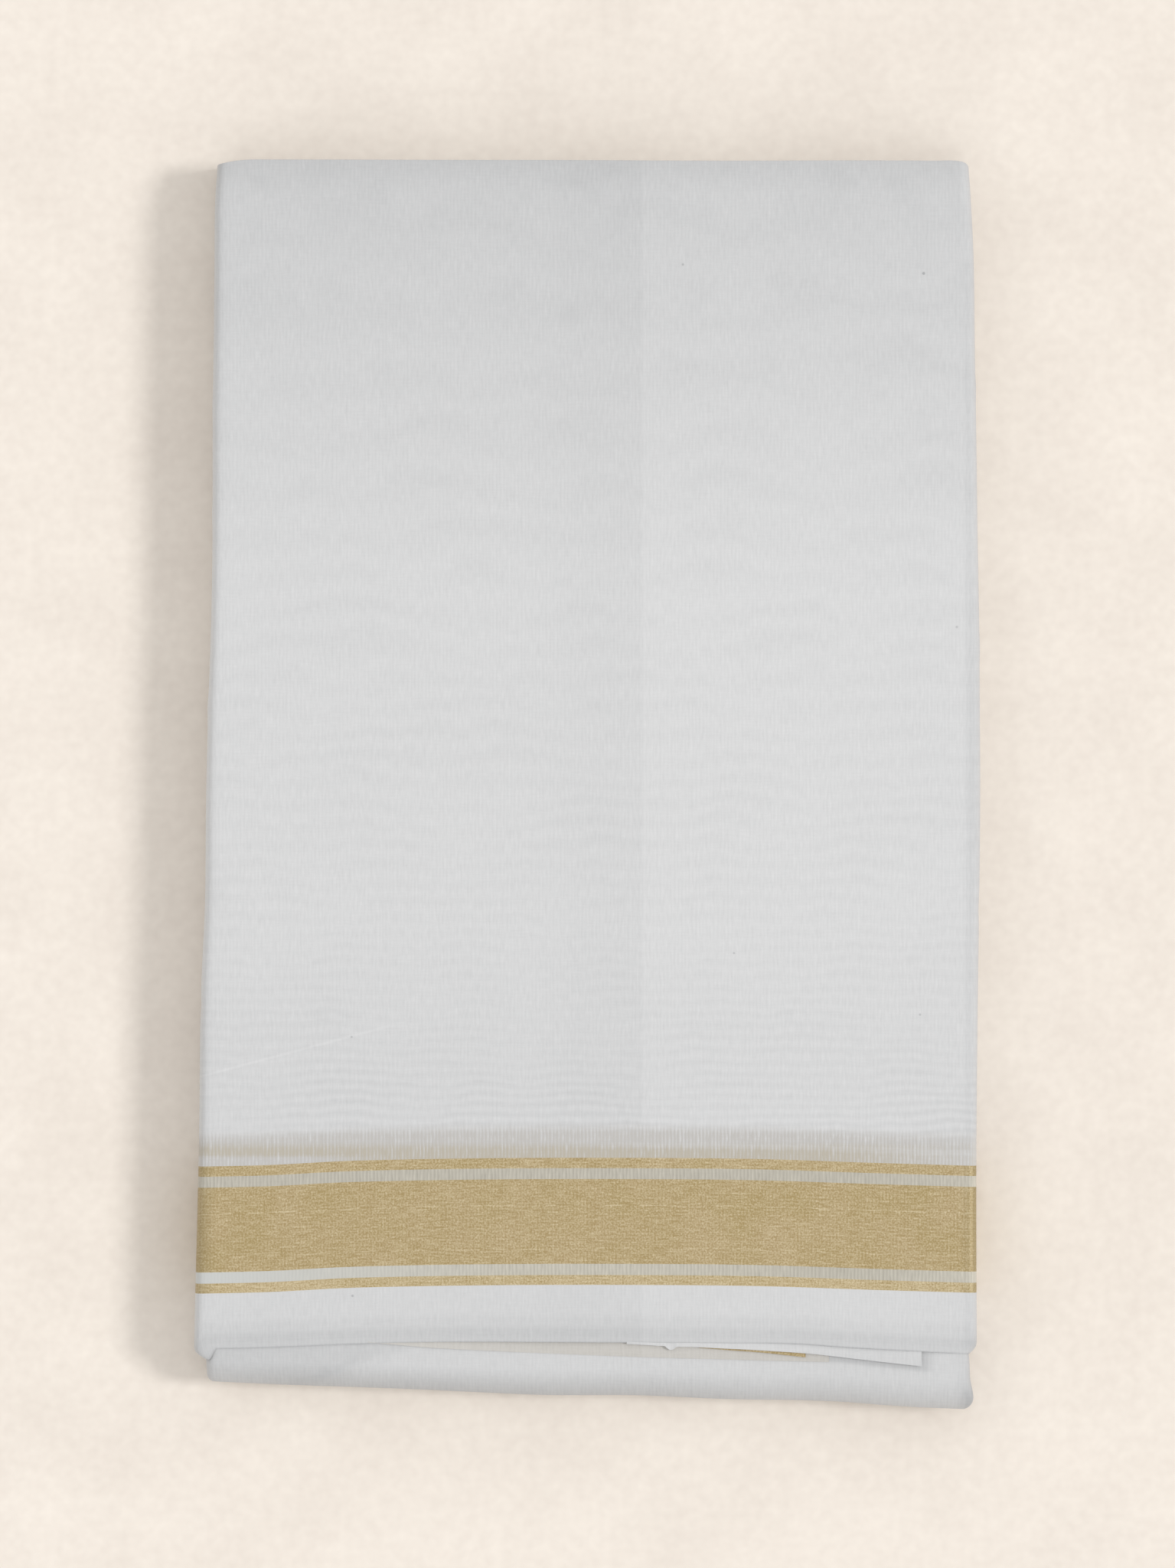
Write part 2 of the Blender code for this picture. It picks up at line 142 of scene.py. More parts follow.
# %% [markdown]
# Along the pack the section changes. At the far end the springy folds sink a little under their own layers,
# and at the selvedge the iron drew in both corners.

# %% Sections of the pack
SINK_START = 138.0
SINK_DEPTH = 2.6
CORNER_DRAW_START = -138.2
LEFT_DRAW = 3.0
RIGHT_DRAW = 1.8
DRAW_SHARPNESS = 1.5


def outer_section(v):
    """Left, right, bottom and top of the outer cloth at the thread rows v."""
    sink = SINK_DEPTH * np.clip((v - SINK_START) / (FAR_END - SINK_START), 0, 1) ** 2
    drawn = np.clip((CORNER_DRAW_START - v) / (CORNER_DRAW_START - SELVEDGE), 0, 1) ** DRAW_SHARPNESS
    left = smooth_table(OUTLINE, v, 1) + LEFT_DRAW * drawn
    right = smooth_table(OUTLINE, v, 2) - RIGHT_DRAW * drawn
    return left, right, np.zeros_like(v), THICKNESS - sink


print(f"The far end is {outer_section(FAR_END)[3]:.1f} mm high")

# %% [markdown]
# At the near end the selvedges stop short, and the folds of the inner layers reach past them as a rounded
# nose. Its sides fall to the tip as quarters of an ellipse, and its two corners are small ones.

# %% Sections of the nose
TONGUE_OUTLINE = (
    # y, left edge, right edge of the folds that reach past the selvedges
    (-151, -94, 95.9), (-148, -94.2, 95.9), (-144.5, -94.2, 95.1), (-141.2, -94.1, 94.9), (-131, -94, 93.6),
)
UNDER_TOP = (
    # y, height of those folds
    (-144, 16.9), (-141, 17.3), (-137, 17.5), (-131, 17.5),
)
TONGUE_START = -131.0
NOSE_TIP = -151.6
NOSE_TIP_HEIGHT = 6.8
NOSE_TOP_START = -144.0
NOSE_BOTTOM_START = -146.2
NOSE_LEFT_CORNER = 1.9
NOSE_RIGHT_CORNER = 3.2
NOSE_LIFT = 0.4
NOSE_LIFT_ROWS = (-145.0, -141.5)
ELLIPSE_END = 0.9995


def quarter_drop(along, reach):
    """How far a quarter of an ellipse has fallen, as a share of its height, at along of its reach."""
    share = np.clip(along / reach, 0, ELLIPSE_END)
    return 1 - np.sqrt(1 - share * share)


def tongue_section(v):
    """Left, right, bottom and top of the folds that reach past the selvedges."""
    left = smooth_table(TONGUE_OUTLINE, v, 1)
    left = left + NOSE_LEFT_CORNER * quarter_drop(NOSE_TIP + NOSE_LEFT_CORNER - v, NOSE_LEFT_CORNER)
    right = smooth_table(TONGUE_OUTLINE, v, 2)
    right = right - NOSE_RIGHT_CORNER * quarter_drop(NOSE_TIP + NOSE_RIGHT_CORNER - v, NOSE_RIGHT_CORNER)
    low = NOSE_LIFT * ramp(v, *NOSE_LIFT_ROWS)
    low = low + NOSE_TIP_HEIGHT * quarter_drop(NOSE_BOTTOM_START - v, NOSE_BOTTOM_START - NOSE_TIP)
    high = smooth_table(UNDER_TOP, v)
    high = high - (high - NOSE_TIP_HEIGHT) * quarter_drop(NOSE_TOP_START - v, NOSE_TOP_START - NOSE_TIP)
    return left, right, low, high


print(f"The nose reaches {SELVEDGE - NOSE_TIP:.1f} mm past the selvedge and ends {NOSE_TIP_HEIGHT} mm up")

# %% [markdown]
# Woven rows bow away from the near end between the two side folds. Each piece is laid out by thread row,
# and one function moves a row to where it lies.

# %% Where the thread rows lie
FIELD_END = -94.6
MARGIN_START = -126.0
BOW = (
    # x, shift along y at the border
    (-97, 0.1), (-78, 0.55), (-60, 1.5), (-45, 1.9), (-25, 2.2), (10, 2.3), (45, 1.95), (70, 1.1), (97, 0.3),
)
BOW_FADE_END = -20.0
SELVEDGE_CREEP = 3.0
CREEP_WIDTH = (2.9, 0.7)
CORNER_START = 146.0
FAR_CORNERS = (
    # x, how far the far edge stays back, most at its two corners
    (-92.4, 1.4), (-90, 0.9), (-87, 0.35), (-83, 0), (-79, 0), (-10, 0.1), (30, 0.3), (86, 0.3), (92, 0.35),
    (93.4, 0.6), (94.2, 1), (94.8, 1.6),
)
NOSE_EDGE = (
    # x, shift along y of the tip of the nose
    (-94, 3.3), (-80, 2.6), (-56, 1.7), (-34, 0.9), (-10, 0), (12, -0.1), (35, -1.1), (58, -1.5), (80, -3),
    (96, -3.7),
)


def outer_shift(x, v):
    """How far a thread of the outer cloth lies from its nominal row."""
    bow = smooth_table(BOW, x) * (1 - ramp(v, FIELD_END, BOW_FADE_END))
    near = ramp(v, MARGIN_START, SELVEDGE)
    creep = SELVEDGE_CREEP * ramp(x - outer_section(v)[0], *CREEP_WIDTH) * near
    back = smooth_table(FAR_CORNERS, x) * ramp(v, CORNER_START, FAR_END)
    return bow * (1 - near) + smooth_table(SELVEDGE_EDGE, x) * near - creep - back


def tongue_shift(x, v):
    """The same for the folds that reach past the selvedges."""
    return smooth_table(NOSE_EDGE, x) * ramp(v, TONGUE_START, NOSE_TIP)


PACK = (outer_section, outer_shift)
NOSE = (tongue_section, tongue_shift)
print(f"Above the border the middle of a row lies {outer_shift(0, FIELD_END):.1f} mm further up")

# %% [markdown]
# The cloth over the pack is one sheet from its seam under the left side, round the tall fold, over the top
# and round the upper fold at the right, where it turns back in. The cloth under the pack is another. Both
# are grids of points, with a row for each thread row and columns close enough for the creases below.

# %% The two sheets as grids of points
LEFT_DEGREES = np.linspace(-90, 90, 29)[None, :]
ACROSS = np.linspace(0, 1, 112)[None, 1:-1]
RIGHT_DEGREES = np.linspace(90, -90, 21)[None, :]
UNDER = np.linspace(0, 1, 90)[None, :-1]
LOWER_DEGREES = np.linspace(-90, 90, 17)[None, :]
TURN_IN = np.array([[0.8, 1.6, 2.4]])


def on_rows(x, z, v, shift):
    """Points at x and z, each where its thread row in v lies."""
    return np.stack([x, v[:, None] + shift(x, v[:, None]), z + 0 * x], 2)


def sheet_form(side, v, section, shift):
    """The sheet over the pack, or the one under it, as a row of points for each thread row in v."""
    left, right, low, high = (size[:, None] for size in section(v))
    if side == "front":
        level, half = high, (high - low) / 4
        across, reach, centre, turn = ACROSS, RIGHT_REACH, high - half, RIGHT_DEGREES
        x_left, z_left = side_fold(-1, left, (low + high) / 2, 2 * half, LEFT_REACH, LEFT_DEGREES)
    else:
        level, half = low, (high - low) / 8
        across, reach, centre, turn = UNDER, half, low + half, LOWER_DEGREES
        x_left, z_left = left[:, :0], left[:, :0]
    x_flat = left + LEFT_REACH + (right - reach - left - LEFT_REACH) * across
    x_right, z_right = side_fold(1, right, centre, half, reach, turn)
    x_in = x_right[:, -1:] - TURN_IN
    x = np.concatenate([x_left, x_flat, x_right, x_in], 1)
    z = np.concatenate([z_left, level + 0 * x_flat, z_right, z_right[:, -1:] + 0 * x_in], 1)
    return on_rows(x, z, v, shift)


def normals(points, out):
    """The direction away from the pack at each point of a grid. out is -1 for a grid wound the other way."""
    found = np.cross(np.gradient(points, axis=1), np.gradient(points, axis=0)) * out
    return found / np.linalg.norm(found, axis=2, keepdims=True)


sample_rows = np.array([0.0, 1.0])
sample = sheet_form("front", sample_rows, *PACK)
print("The sheet over the pack has", sample.shape[1], "columns of points")

# %% [markdown]
# Each point also keeps its place in the cloth: how far round the pack it lies and in which thread row, in
# millimetres. That map carries every weave and stripe, so threads run round the folds as on real cloth.

# %% Places in the cloth
FRONT_START = LEFT_DEGREES.shape[1]


def thread_map(points, v, start_column):
    """Millimetres round the cloth, equal to x at the start column, and the thread row."""
    steps = np.linalg.norm(np.diff(points, axis=1), axis=2)
    around = np.concatenate([np.zeros((len(points), 1)), np.cumsum(steps, axis=1)], 1)
    start = slice(start_column, start_column + 1)
    around = around - around[:, start] + points[:, start, 0]
    return np.stack([around, v[:, None] + 0 * around], 2)


trial_map = thread_map(sample, sample_rows, FRONT_START)
print(f"The sheet over the pack is {np.ptp(trial_map[0, :, 0]):.0f} mm round")

# %% [markdown]
# ## Creases
#
# A pressed pack isn't glass smooth. A few long, shallow creases cross it where the iron or a hand passed,
# and broad hollows lie between them, all tenths of a millimetre high. Each crease is one row of a table:
# where it starts and ends in the cloth, how wide it is, and how high it rises, or sinks where that is less
# than zero.

# %% Creases and hollows
CREASES = {
    # start round and row, end round and row, width, rise
    "front": (
        (-97, -73.5, -39, -56, 2.2, 0.16), (-96, -78, -60, -66, 4, -0.08), (42.6, -4.8, 84.4, 8.5, 2, 0.13),
        (46, -8.5, 80, 4, 4, -0.06), (-92, -28, -80, -26, 5, 0.25), (-84, -40, -66, -62, 6, -0.2),
        (-30, 118, 38, 127, 3, 0.07), (10, 62, 70, 48, 5, -0.08), (-70, 30, -22, 12, 5, 0.07),
        (60, -80, 97, -70, 3, 0.1), (-104, 96, -72, 84, 3, 0.12), (-112, 10, -90, 22, 2.5, 0.2),
        (-113, -50, -92, -58, 2, -0.2), (-112, 60, -94, 68, 3, 0.22), (-111, 118, -95, 112, 2.2, -0.18),
        (96, 30, 108, 41, 2.2, 0.15), (96, -34, 108, -24, 2.6, -0.16), (95, 100, 107, 92, 2.2, 0.15),
    ),
    "back": (
        (520, -60, 590, -38, 2.4, 0.1), (610, 20, 680, 44, 2.2, 0.12), (540, 84, 600, 70, 3, -0.1),
        (640, -20, 690, -44, 2.6, 0.1),
    ),
    "nose": (
        (-67, -151, -50.5, -142, 0.9, 0.3), (-70, -149, -54, -141.5, 1.6, -0.2),
        (16, -150, 34, -147, 2, 0.12), (60, -151, 86, -146, 2.4, -0.14), (-36, -150, -8, -147.5, 2.4, 0.1),
    ),
}
CREASE_BEND = 0.04
CREASE_FADE = (-0.1, 0.3)
HOLLOWS = (
    # depth, then two waves that cross: millimetres round and along the cloth for each radian, and phase
    (0.12, (27, 61, 0), (-88, 43, 1.3)),
    (0.06, (13, -29, 0.6), (52, 19, 0)),
)


def creased(place, creases):
    """How far the cloth stands out at each place in it, in millimetres."""
    around, row = place[..., 0], place[..., 1]
    rise = 0 * row
    for depth, *waves in HOLLOWS:
        first, second = (np.sin(around / turn + row / run + phase) for turn, run, phase in waves)
        rise += depth * first * second
    for from_around, from_row, to_around, to_row, width, height in creases:
        run = np.array([to_around - from_around, to_row - from_row])
        along = ((around - from_around) * run[0] + (row - from_row) * run[1]) / (run @ run)
        bend = CREASE_BEND * np.hypot(*run) * np.sin(math.pi * np.clip(along, 0, 1))
        off = ((row - from_row) * run[0] - (around - from_around) * run[1]) / np.hypot(*run) - bend
        ends = ramp(along, *CREASE_FADE) * ramp(1 - along, *CREASE_FADE)
        rise += height * np.exp(-(off / width) ** 2) * ends
    return rise


print("Creases:", {where: len(creases) for where, creases in CREASES.items()})

# %% [markdown]
# ## From grids to meshes
#
# Cloth has a thickness, if only of a fifth of a millimetre, and a closed shell catches the light at its
# edge. So each grid gets a second one beneath it, and the two are joined round their rim.

# %% Shells of cloth


def grid_faces(index):
    """Four-sided faces between the neighbours in a grid of point numbers."""
    corners = [index[:-1, :-1], index[:-1, 1:], index[1:, 1:], index[1:, :-1]]
    return np.stack(corners, 2).reshape(-1, 4)


def shell(outer, threads, out=1, wall=CLOTH):
    """A thin closed wall under a grid: its points, places in the cloth and faces."""
    rows, columns = outer.shape[:2]
    inner = outer - normals(outer, out) * wall
    points = np.concatenate([outer.reshape(-1, 3), inner.reshape(-1, 3)])
    index = np.arange(rows * columns).reshape(rows, columns)
    top = grid_faces(index)
    rim = np.concatenate([index[0, :-1], index[:-1, -1], index[-1, :0:-1], index[:0:-1, 0]])
    ahead = np.roll(rim, -1)
    below = rows * columns
    sides = np.stack([ahead, rim, rim + below, ahead + below], 1)
    faces = np.concatenate([top, top[:, ::-1] + below, sides])
    return points, np.tile(threads.reshape(-1, 2), (2, 1)), faces[:, ::out]


trial = shell(sample, trial_map)
print("A shell round two rows has", len(trial[0]), "points and", len(trial[2]), "faces")

# %% [markdown]
# A piece is one mesh object, and the solids of the frame that it stands for are hidden. Its flat size, how
# large it was cut, is printed.

# %% Pieces and sheets
SHARP_DEGREES = 50


def put(name, data):
    """Adds an object with its data to the scene."""
    made = bpy.data.objects.new(name, data)
    bpy.context.scene.collection.objects.link(made)
    return made


def add_piece(name, shells, material, flat, nodes=()):
    """Makes one piece from shells, with its places in the cloth and where it lies as two maps."""
    counts = np.cumsum([0] + [len(made[0]) for made in shells])
    points = np.concatenate([made[0] for made in shells])
    threads = np.concatenate([made[1] for made in shells])
    faces = np.concatenate([made[2] + start for made, start in zip(shells, counts)])
    mesh = bpy.data.meshes.new(name)
    mesh.from_pydata(points * MM, [], faces.tolist())
    for title, place in (("threads", threads), ("lie", points[:, :2])):
        layer = mesh.uv_layers.new(name=title)
        layer.data.foreach_set("uv", place[faces].astype(np.float32).ravel())
    mesh.shade_smooth()
    mesh.set_sharp_from_angle(angle=math.radians(SHARP_DEGREES))
    mesh.materials.append(material)
    piece = put(name, mesh)
    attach(piece, "root")
    if nodes:
        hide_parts(*nodes)
    print(f"{name}: {len(faces) * 2} triangles, flat {flat[0]:.3f} x {flat[1]:.3f} m")


def grid_size(points):
    """The mean width and length of a grid of points when it is laid flat, in metres."""
    width = np.linalg.norm(np.diff(points, axis=1), axis=2).sum(1).mean()
    length = np.linalg.norm(np.diff(points, axis=0), axis=2).sum(0).mean()
    return width * MM, length * MM


def add_sheet(node, points, threads, material, out=1, row=0.0):
    """Makes the piece for one solid from one grid. row is how far its threads lie from their own rows."""
    sheet = shell(points, threads + np.array([0.0, row]), out)
    add_piece(node + "_cloth", [sheet], material, grid_size(points), [node])


def declare(name, on, narrow=()):
    """Prints what a sheet of cloth rests on and how many narrow woven parts go with it, and looks those up.
    """
    print(name, "rests on", on, "with", len(narrow), "narrow parts")
    narrow = [bpy.data.objects[other] for other in narrow]


print("Two rows laid flat are", np.round(grid_size(sample), 3), "m")

# %% [markdown]
# ## Materials
#
# Colours are written as sRGB hex values, as a colour picker gives them, and one function turns them to the
# linear numbers that the shader works with. One small function adds a node with its settings and links.

# %% Colours and nodes


def linear(colour):
    """A linear colour from an sRGB hex value."""
    shares = [int(colour[start:start + 2], 16) / 255 for start in (1, 3, 5)]
    red, green, blue = (x / 12.92 if x <= 0.04045 else ((x + 0.055) / 1.055) ** 2.4 for x in shares)
    return red, green, blue, 1.0


def set_inputs(tree, node, inputs):
    """Sets inputs of a node to values, or links them to outputs."""
    for socket, value in inputs.items():
        if isinstance(value, bpy.types.NodeSocket):
            tree.links.new(value, node.inputs[socket])
        else:
            node.inputs[socket].default_value = value


def add_node(tree, kind, inputs, **settings):
    """Adds a node with its settings and its inputs, and gives back its outputs."""
    made = tree.nodes.new(kind)
    for name, value in settings.items():
        setattr(made, name, value)
    set_inputs(tree, made, inputs)
    return made.outputs


print("Middle grey #808080 in linear light:", round(linear("#808080")[0], 3))

# %% [markdown]
# ### The threads of the cloth
#
# The cloth is a fine, open plain weave of handloom cotton, about 23 threads to the centimetre. Such yarn is
# uneven, so the eye sees slubs before single threads: short streaks a thread or two wide, along the pack
# and across it. Noise stretched over the place in the cloth gives them, once for each direction. The reed
# of the loom also leaves the warp in pairs, which shows as faint columns 0.88 mm apart: a sine wave, bent
# by slubs.

# %% A new cloth material with its places and patterns
THREAD = 0.44
REED_PITCH = 2 * THREAD
COLUMN_BEND = 5.0
SLUBS = {
    # pattern: millimetres across the warp and along it, detail
    "warp": (0.6, 3.5, 1),
    "weft": (4, THREAD, 1),
}


def new_cloth(name, **patterns):
    """A material, its nodes, and by name the places and patterns of its cloth."""
    material = bpy.data.materials.new(name)
    material.use_nodes = True
    tree = material.node_tree
    cloth = {title: add_node(tree, "ShaderNodeUVMap", {}, uv_map=title)[0] for title in ("threads", "lie")}
    around, cloth["row"] = add_node(tree, "ShaderNodeSeparateXYZ", {0: cloth["threads"]})[:2]
    cloth["x"], cloth["y"] = add_node(tree, "ShaderNodeSeparateXYZ", {0: cloth["lie"]})[:2]
    for title, (across, along, detail) in {**SLUBS, **patterns}.items():
        scale = {0: cloth["threads"], 1: (1 / across, 1 / along, 1)}
        stretched = add_node(tree, "ShaderNodeVectorMath", scale, operation="MULTIPLY")[0]
        noise = {"Vector": stretched, "Scale": 1, "Detail": detail}
        cloth[title] = add_node(tree, "ShaderNodeTexNoise", noise)[0]
    bend = add_node(tree, "ShaderNodeMath", {0: cloth["warp"], 1: COLUMN_BEND}, operation="MULTIPLY")[0]
    turns = {0: around, 1: math.tau / REED_PITCH, 2: bend}
    angle = add_node(tree, "ShaderNodeMath", turns, operation="MULTIPLY_ADD")[0]
    wave = {0: add_node(tree, "ShaderNodeMath", {0: angle}, operation="SINE")[0], 1: 0.5, 2: 0.5}
    cloth["columns"] = add_node(tree, "ShaderNodeMath", wave, operation="MULTIPLY_ADD")[0]
    return material, tree, cloth


print(f"Threads {THREAD} mm apart, {10 / THREAD:.0f} to the centimetre")

# %% [markdown]
# A cloth's shade is never one number: patterns vary it round a mean, and layers below or painted shade change
# it in steps.
# Both are short tables, and three functions work them out with nodes. A step has the axis it runs along,
# where it starts and ends, its values there, and SOFT where its ends are soft. Steps in one list are
# multiplied.

# %% Weights, steps and layers of colour
SOFT = "SMOOTHSTEP"


def weighted(tree, cloth, mean, weights, middle=0.5):
    """A mean value that patterns vary, each by its weight and from its own middle value."""
    total = mean - middle * sum(weights.values())
    for title, weight in weights.items():
        terms = {0: cloth[title], 1: weight, 2: total}
        total = add_node(tree, "ShaderNodeMath", terms, operation="MULTIPLY_ADD")[0]
    return total


def stepped(tree, cloth, steps, share=1.0):
    """A share multiplied by steps."""
    for axis, start, stop, first, last, *shape in steps:
        step = {0: cloth[axis], 1: start, 2: stop, 3: first, 4: last}
        shape = shape[0] if shape else "LINEAR"
        step = add_node(tree, "ShaderNodeMapRange", step, interpolation_type=shape)[0]
        share = add_node(tree, "ShaderNodeMath", {0: step, 1: share}, operation="MULTIPLY")[0]
    return share


def coloured(tree, colour, layers):
    """A colour with other ones laid over it, each by its share."""
    for share, other in layers:
        blend = {0: share, 6: colour, 7: linear(other)}
        colour = add_node(tree, "ShaderNodeMix", blend, data_type="RGBA")[2]
    return colour


print("A step is linear, or", SOFT, "where its ends are soft")

# %% [markdown]
# Cotton is a dielectric with an IOR near 1.5, and spun yarn scatters light so widely that it looks quite
# matt: roughness 0.9. The fuzz of the yarn gives a little sheen. One function finishes every cloth
# material, with its colour, the relief of its threads in millimetres, and the numbers that are the same all
# over it.

# %% What every cloth shader has
COTTON_LOOK = {"Roughness": 0.9, "Metallic": 0, "Sheen Weight": 0.12, "IOR": 1.5}
THREAD_RELIEF = 0.05


def finish_cloth(material, colour, height, look=COTTON_LOOK):
    """Links the colour and the thread relief of a cloth material, and sets its even values."""
    tree = material.node_tree
    bump = {"Height": height, "Distance": THREAD_RELIEF * MM, "Strength": 1}
    inputs = {"Base Color": colour, "Normal": add_node(tree, "ShaderNodeBump", bump)[0], **look}
    set_inputs(tree, tree.nodes["Principled BSDF"], inputs)
    return material


print("Cotton:", COTTON_LOOK)

# %% [markdown]
# ### Plain-woven cotton
#
# Sheer cloth takes its tone from the layers beneath, so the pack isn't one even white. An inner layer ends
# 14 mm right of the middle, so the left half reads slightly darker, with a straight edge. Above the selvedge
# a see-through band comes before the closer-woven edge. The other tones are painted shade: greyer along the
# right side, towards the far end and towards the border, along the very edge of the selvedge, and on the
# folds that reach past it towards their tip, at their right end and left of the slanting crease in them,
# with a painted shadow under the flap. One thin, lighter line along a crease is a painted highlight.

# %% Tones from the layers beneath, painted shade and a painted highlight
NOSE_ROW_OFFSET = -100.0
ON_PACK = ("row", -150, -140, 0, 1)
ON_NOSE = ("row", -150, -200, 0, 1)
SLANTS = {
    # slanting axis: how much of x and of y is in it
    "crease": {"x": 1, "y": -2.07},
    # the slant along the flap's lower edge, for the painted shadow under it
    "flap": {"x": 0.102, "y": 1},
    # the slant along a crease whose ridge gets a painted highlight
    "pressed": {"x": -0.268, "y": 1},
}
TONES_AND_PAINTED_SHADE = (
    # painted shade along the right side, towards the far end, and towards the border
    [("x", 93, 97, 0, 0.42)], [("y", 50, 150, 0, 0.25)], [("y", 146, 156, 0, 0.16)],
    [("y", -35, -75, 0, 0.08)],
    # across the margin, down to the selvedge, with painted shade along its very edge
    [("row", -132.5, -135.3, 0, 0.1, SOFT)], [("row", -135.8, -138, 0, 0.15, SOFT)],
    [("row", -138.8, -139.6, 0, -0.04, SOFT)], [("row", -140.2, -140.6, 0, 0.3, SOFT)],
    [("row", -141, -142, 0, -0.45, SOFT)],
    # left of the edge of the inner layer
    [ON_PACK, ("x", 13.3, 14.3, 1, 0, SOFT), ("x", -14, -2, 0.05, 0.085)],
    # painted shade towards the tip of the nose, less at both ends of it
    [("row", -244.5, -251.5, 0, 0.42), ("x", 10, 80, 1, 0.55), ("x", -60, -92, 1, 0.15)],
    # painted shade on the nose: left of its crease and at its right end, and a painted shadow under the flap
    [ON_NOSE, ("crease", 250, 234, 0, 0.2, SOFT)], [ON_NOSE, ("x", 90.5, 95.5, 0, 0.3, SOFT)],
    [ON_NOSE, ("flap", -137.2, -135.9, 0, 0.28, SOFT), ("x", 48, 56, 0, 1), ("x", 86.5, 84, 0, 1)],
    # a painted highlight: one thin, lighter line along the ridge of a crease
    [("pressed", -47.15, -46.775, 0, -0.1, SOFT), ("pressed", -46.15, -46.525, 0, 1, SOFT),
     ("x", -40, -58, 0, 1, SOFT)],
)


def toned(tree, cloth, total, tones):
    """A total with tones added, each the product of its steps."""
    for steps in tones:
        tone = stepped(tree, cloth, steps)
        total = add_node(tree, "ShaderNodeMath", {0: tone, 1: total}, operation="ADD")[0]
    return total


print("Tones:", len(TONES_AND_PAINTED_SHADE))

# %% [markdown]
# Two sheer weaves that lie on each other at slightly different spacings make moire: wavy bands, close
# together near the border, where the layers slip most, and wide apart further up. A sine wave whose phase
# falls off exponentially along the pack draws them, and broad noise bends them and leaves them in patches.

# %% Moire of the sheer layers
CLOUDS = (24, 24, 2)
MOIRE_TURNS = 43.6
MOIRE_DECAY = 96.0
MOIRE_START = -90.0
MOIRE_BEND = 15.0
MOIRE_STEPS = [("y", -60, -88, 0.03, 0.075), ("clouds", 0.25, 0.6, 0, 1), ("y", -94, -88, 0, 1)]


def moire(tree, cloth):
    """Wavy bands across the pack, as an amount of grey. They end at the border."""
    bend = add_node(tree, "ShaderNodeMath", {0: cloth["clouds"], 1: MOIRE_BEND}, operation="MULTIPLY")[0]
    wave = cloth["y"]
    for operation, second, third in (
        ("MULTIPLY_ADD", -1 / MOIRE_DECAY, MOIRE_START / MOIRE_DECAY),
        ("EXPONENT", 0, 0),
        ("MULTIPLY_ADD", math.tau * MOIRE_TURNS, bend),
        ("SINE", 0, 0),
    ):
        wave = add_node(tree, "ShaderNodeMath", {0: wave, 1: second, 2: third}, operation=operation)[0]
    return stepped(tree, cloth, MOIRE_STEPS, wave)


print(f"Moire bands are {MOIRE_DECAY / MOIRE_TURNS:.1f} mm apart at the border")

# %% [markdown]
# Just above the border the turned-in gold line of an inner layer shows through as a beige veil, with the
# warp over it like a fringe. Its soft upper side follows the thread rows and its lower side is straight. A
# few specks of husk in the yarn and soft grey spots lie elsewhere.

# %% The veil above the border, and small marks in the cloth
VEIL_SHARE = 0.9
FRINGE = {"warp": 1.1, "weft": 0.3, "columns": 0.7}
VEILS = (
    # colour, steps that bring it in, and steps that leave some of it out
    (
        "#BEBBB7",
        [("row", -85.4, -89.2, 0, 1, SOFT), ("y", -95.2, -94.7, 0, 1, SOFT), ("x", 62, 94, 1, 0.7)],
        [("row", -92.7, -91.8, 0, 0.3, SOFT), ("row", -90.3, -91.2, 0, 1, SOFT), ("x", -12, 20, 0, 1, SOFT)],
    ),
    (
        "#B8B1A3",
        [("y", -88, -90.8, 0, 1, SOFT), ("x", 60, 92, 1, 0.3)],
        [("y", -91.2, -92.6, 0, 1, SOFT), ("x", -40, -72, 0, 1, SOFT)],
    ),
)
SPECKS = (
    # x, y, radius, how much greyer: specks of husk, then soft grey spots
    (83.4, 126.3, 0.5, 0.8), (23.9, 128.5, 0.45, 0.5), (91.6, 38.9, 0.45, 0.5), (-58, -62.4, 0.4, 0.5),
    (36.5, -41.7, 0.4, 0.5), (82.5, -56.9, 0.4, 0.5), (-57.8, -126.4, 0.45, 0.6), (-4.2, 116.4, 4, 0.05),
    (47.7, 124.4, 4, 0.05), (36.3, 66.6, 5, 0.04),
)


def veiled(tree, cloth, colour):
    """The colour with the beige veil laid over it, and the inner layer's line over that."""
    share = weighted(tree, cloth, VEIL_SHARE, FRINGE)
    for veil, brought_in, left_out in VEILS:
        left_out = {0: 1, 1: stepped(tree, cloth, left_out)}
        rest = add_node(tree, "ShaderNodeMath", left_out, operation="SUBTRACT")[0]
        both = {0: rest, 1: stepped(tree, cloth, brought_in, share)}
        share = add_node(tree, "ShaderNodeMath", both, operation="MULTIPLY")[0]
        colour = coloured(tree, colour, [(share, veil)])
    return colour


def speckled(tree, cloth, tone, specks):
    """The tone with small dark marks added where the cloth lies."""
    for x, y, radius, weight in specks:
        middle = {0: cloth["lie"], 1: (x, y, 0)}
        away = {"away": add_node(tree, "ShaderNodeVectorMath", middle, operation="DISTANCE")[1]}
        tone = toned(tree, away, tone, [[("away", radius, radius / 3, 0, weight, SOFT)]])
    return tone


print("Marks in the cloth:", len(SPECKS))

# %% [markdown]
# All of it comes together in the cotton: its tone runs from a light neutral white to a mid grey.

# %% The cotton
COTTON_WHITE = "#DADADA"
COTTON_GREY = "#A8A9AA"
BODY_TONE = 0.125
COTTON_TEXTURE = {"warp": 0.26, "weft": 0.13, "columns": 0.05, "clouds": 0.1}


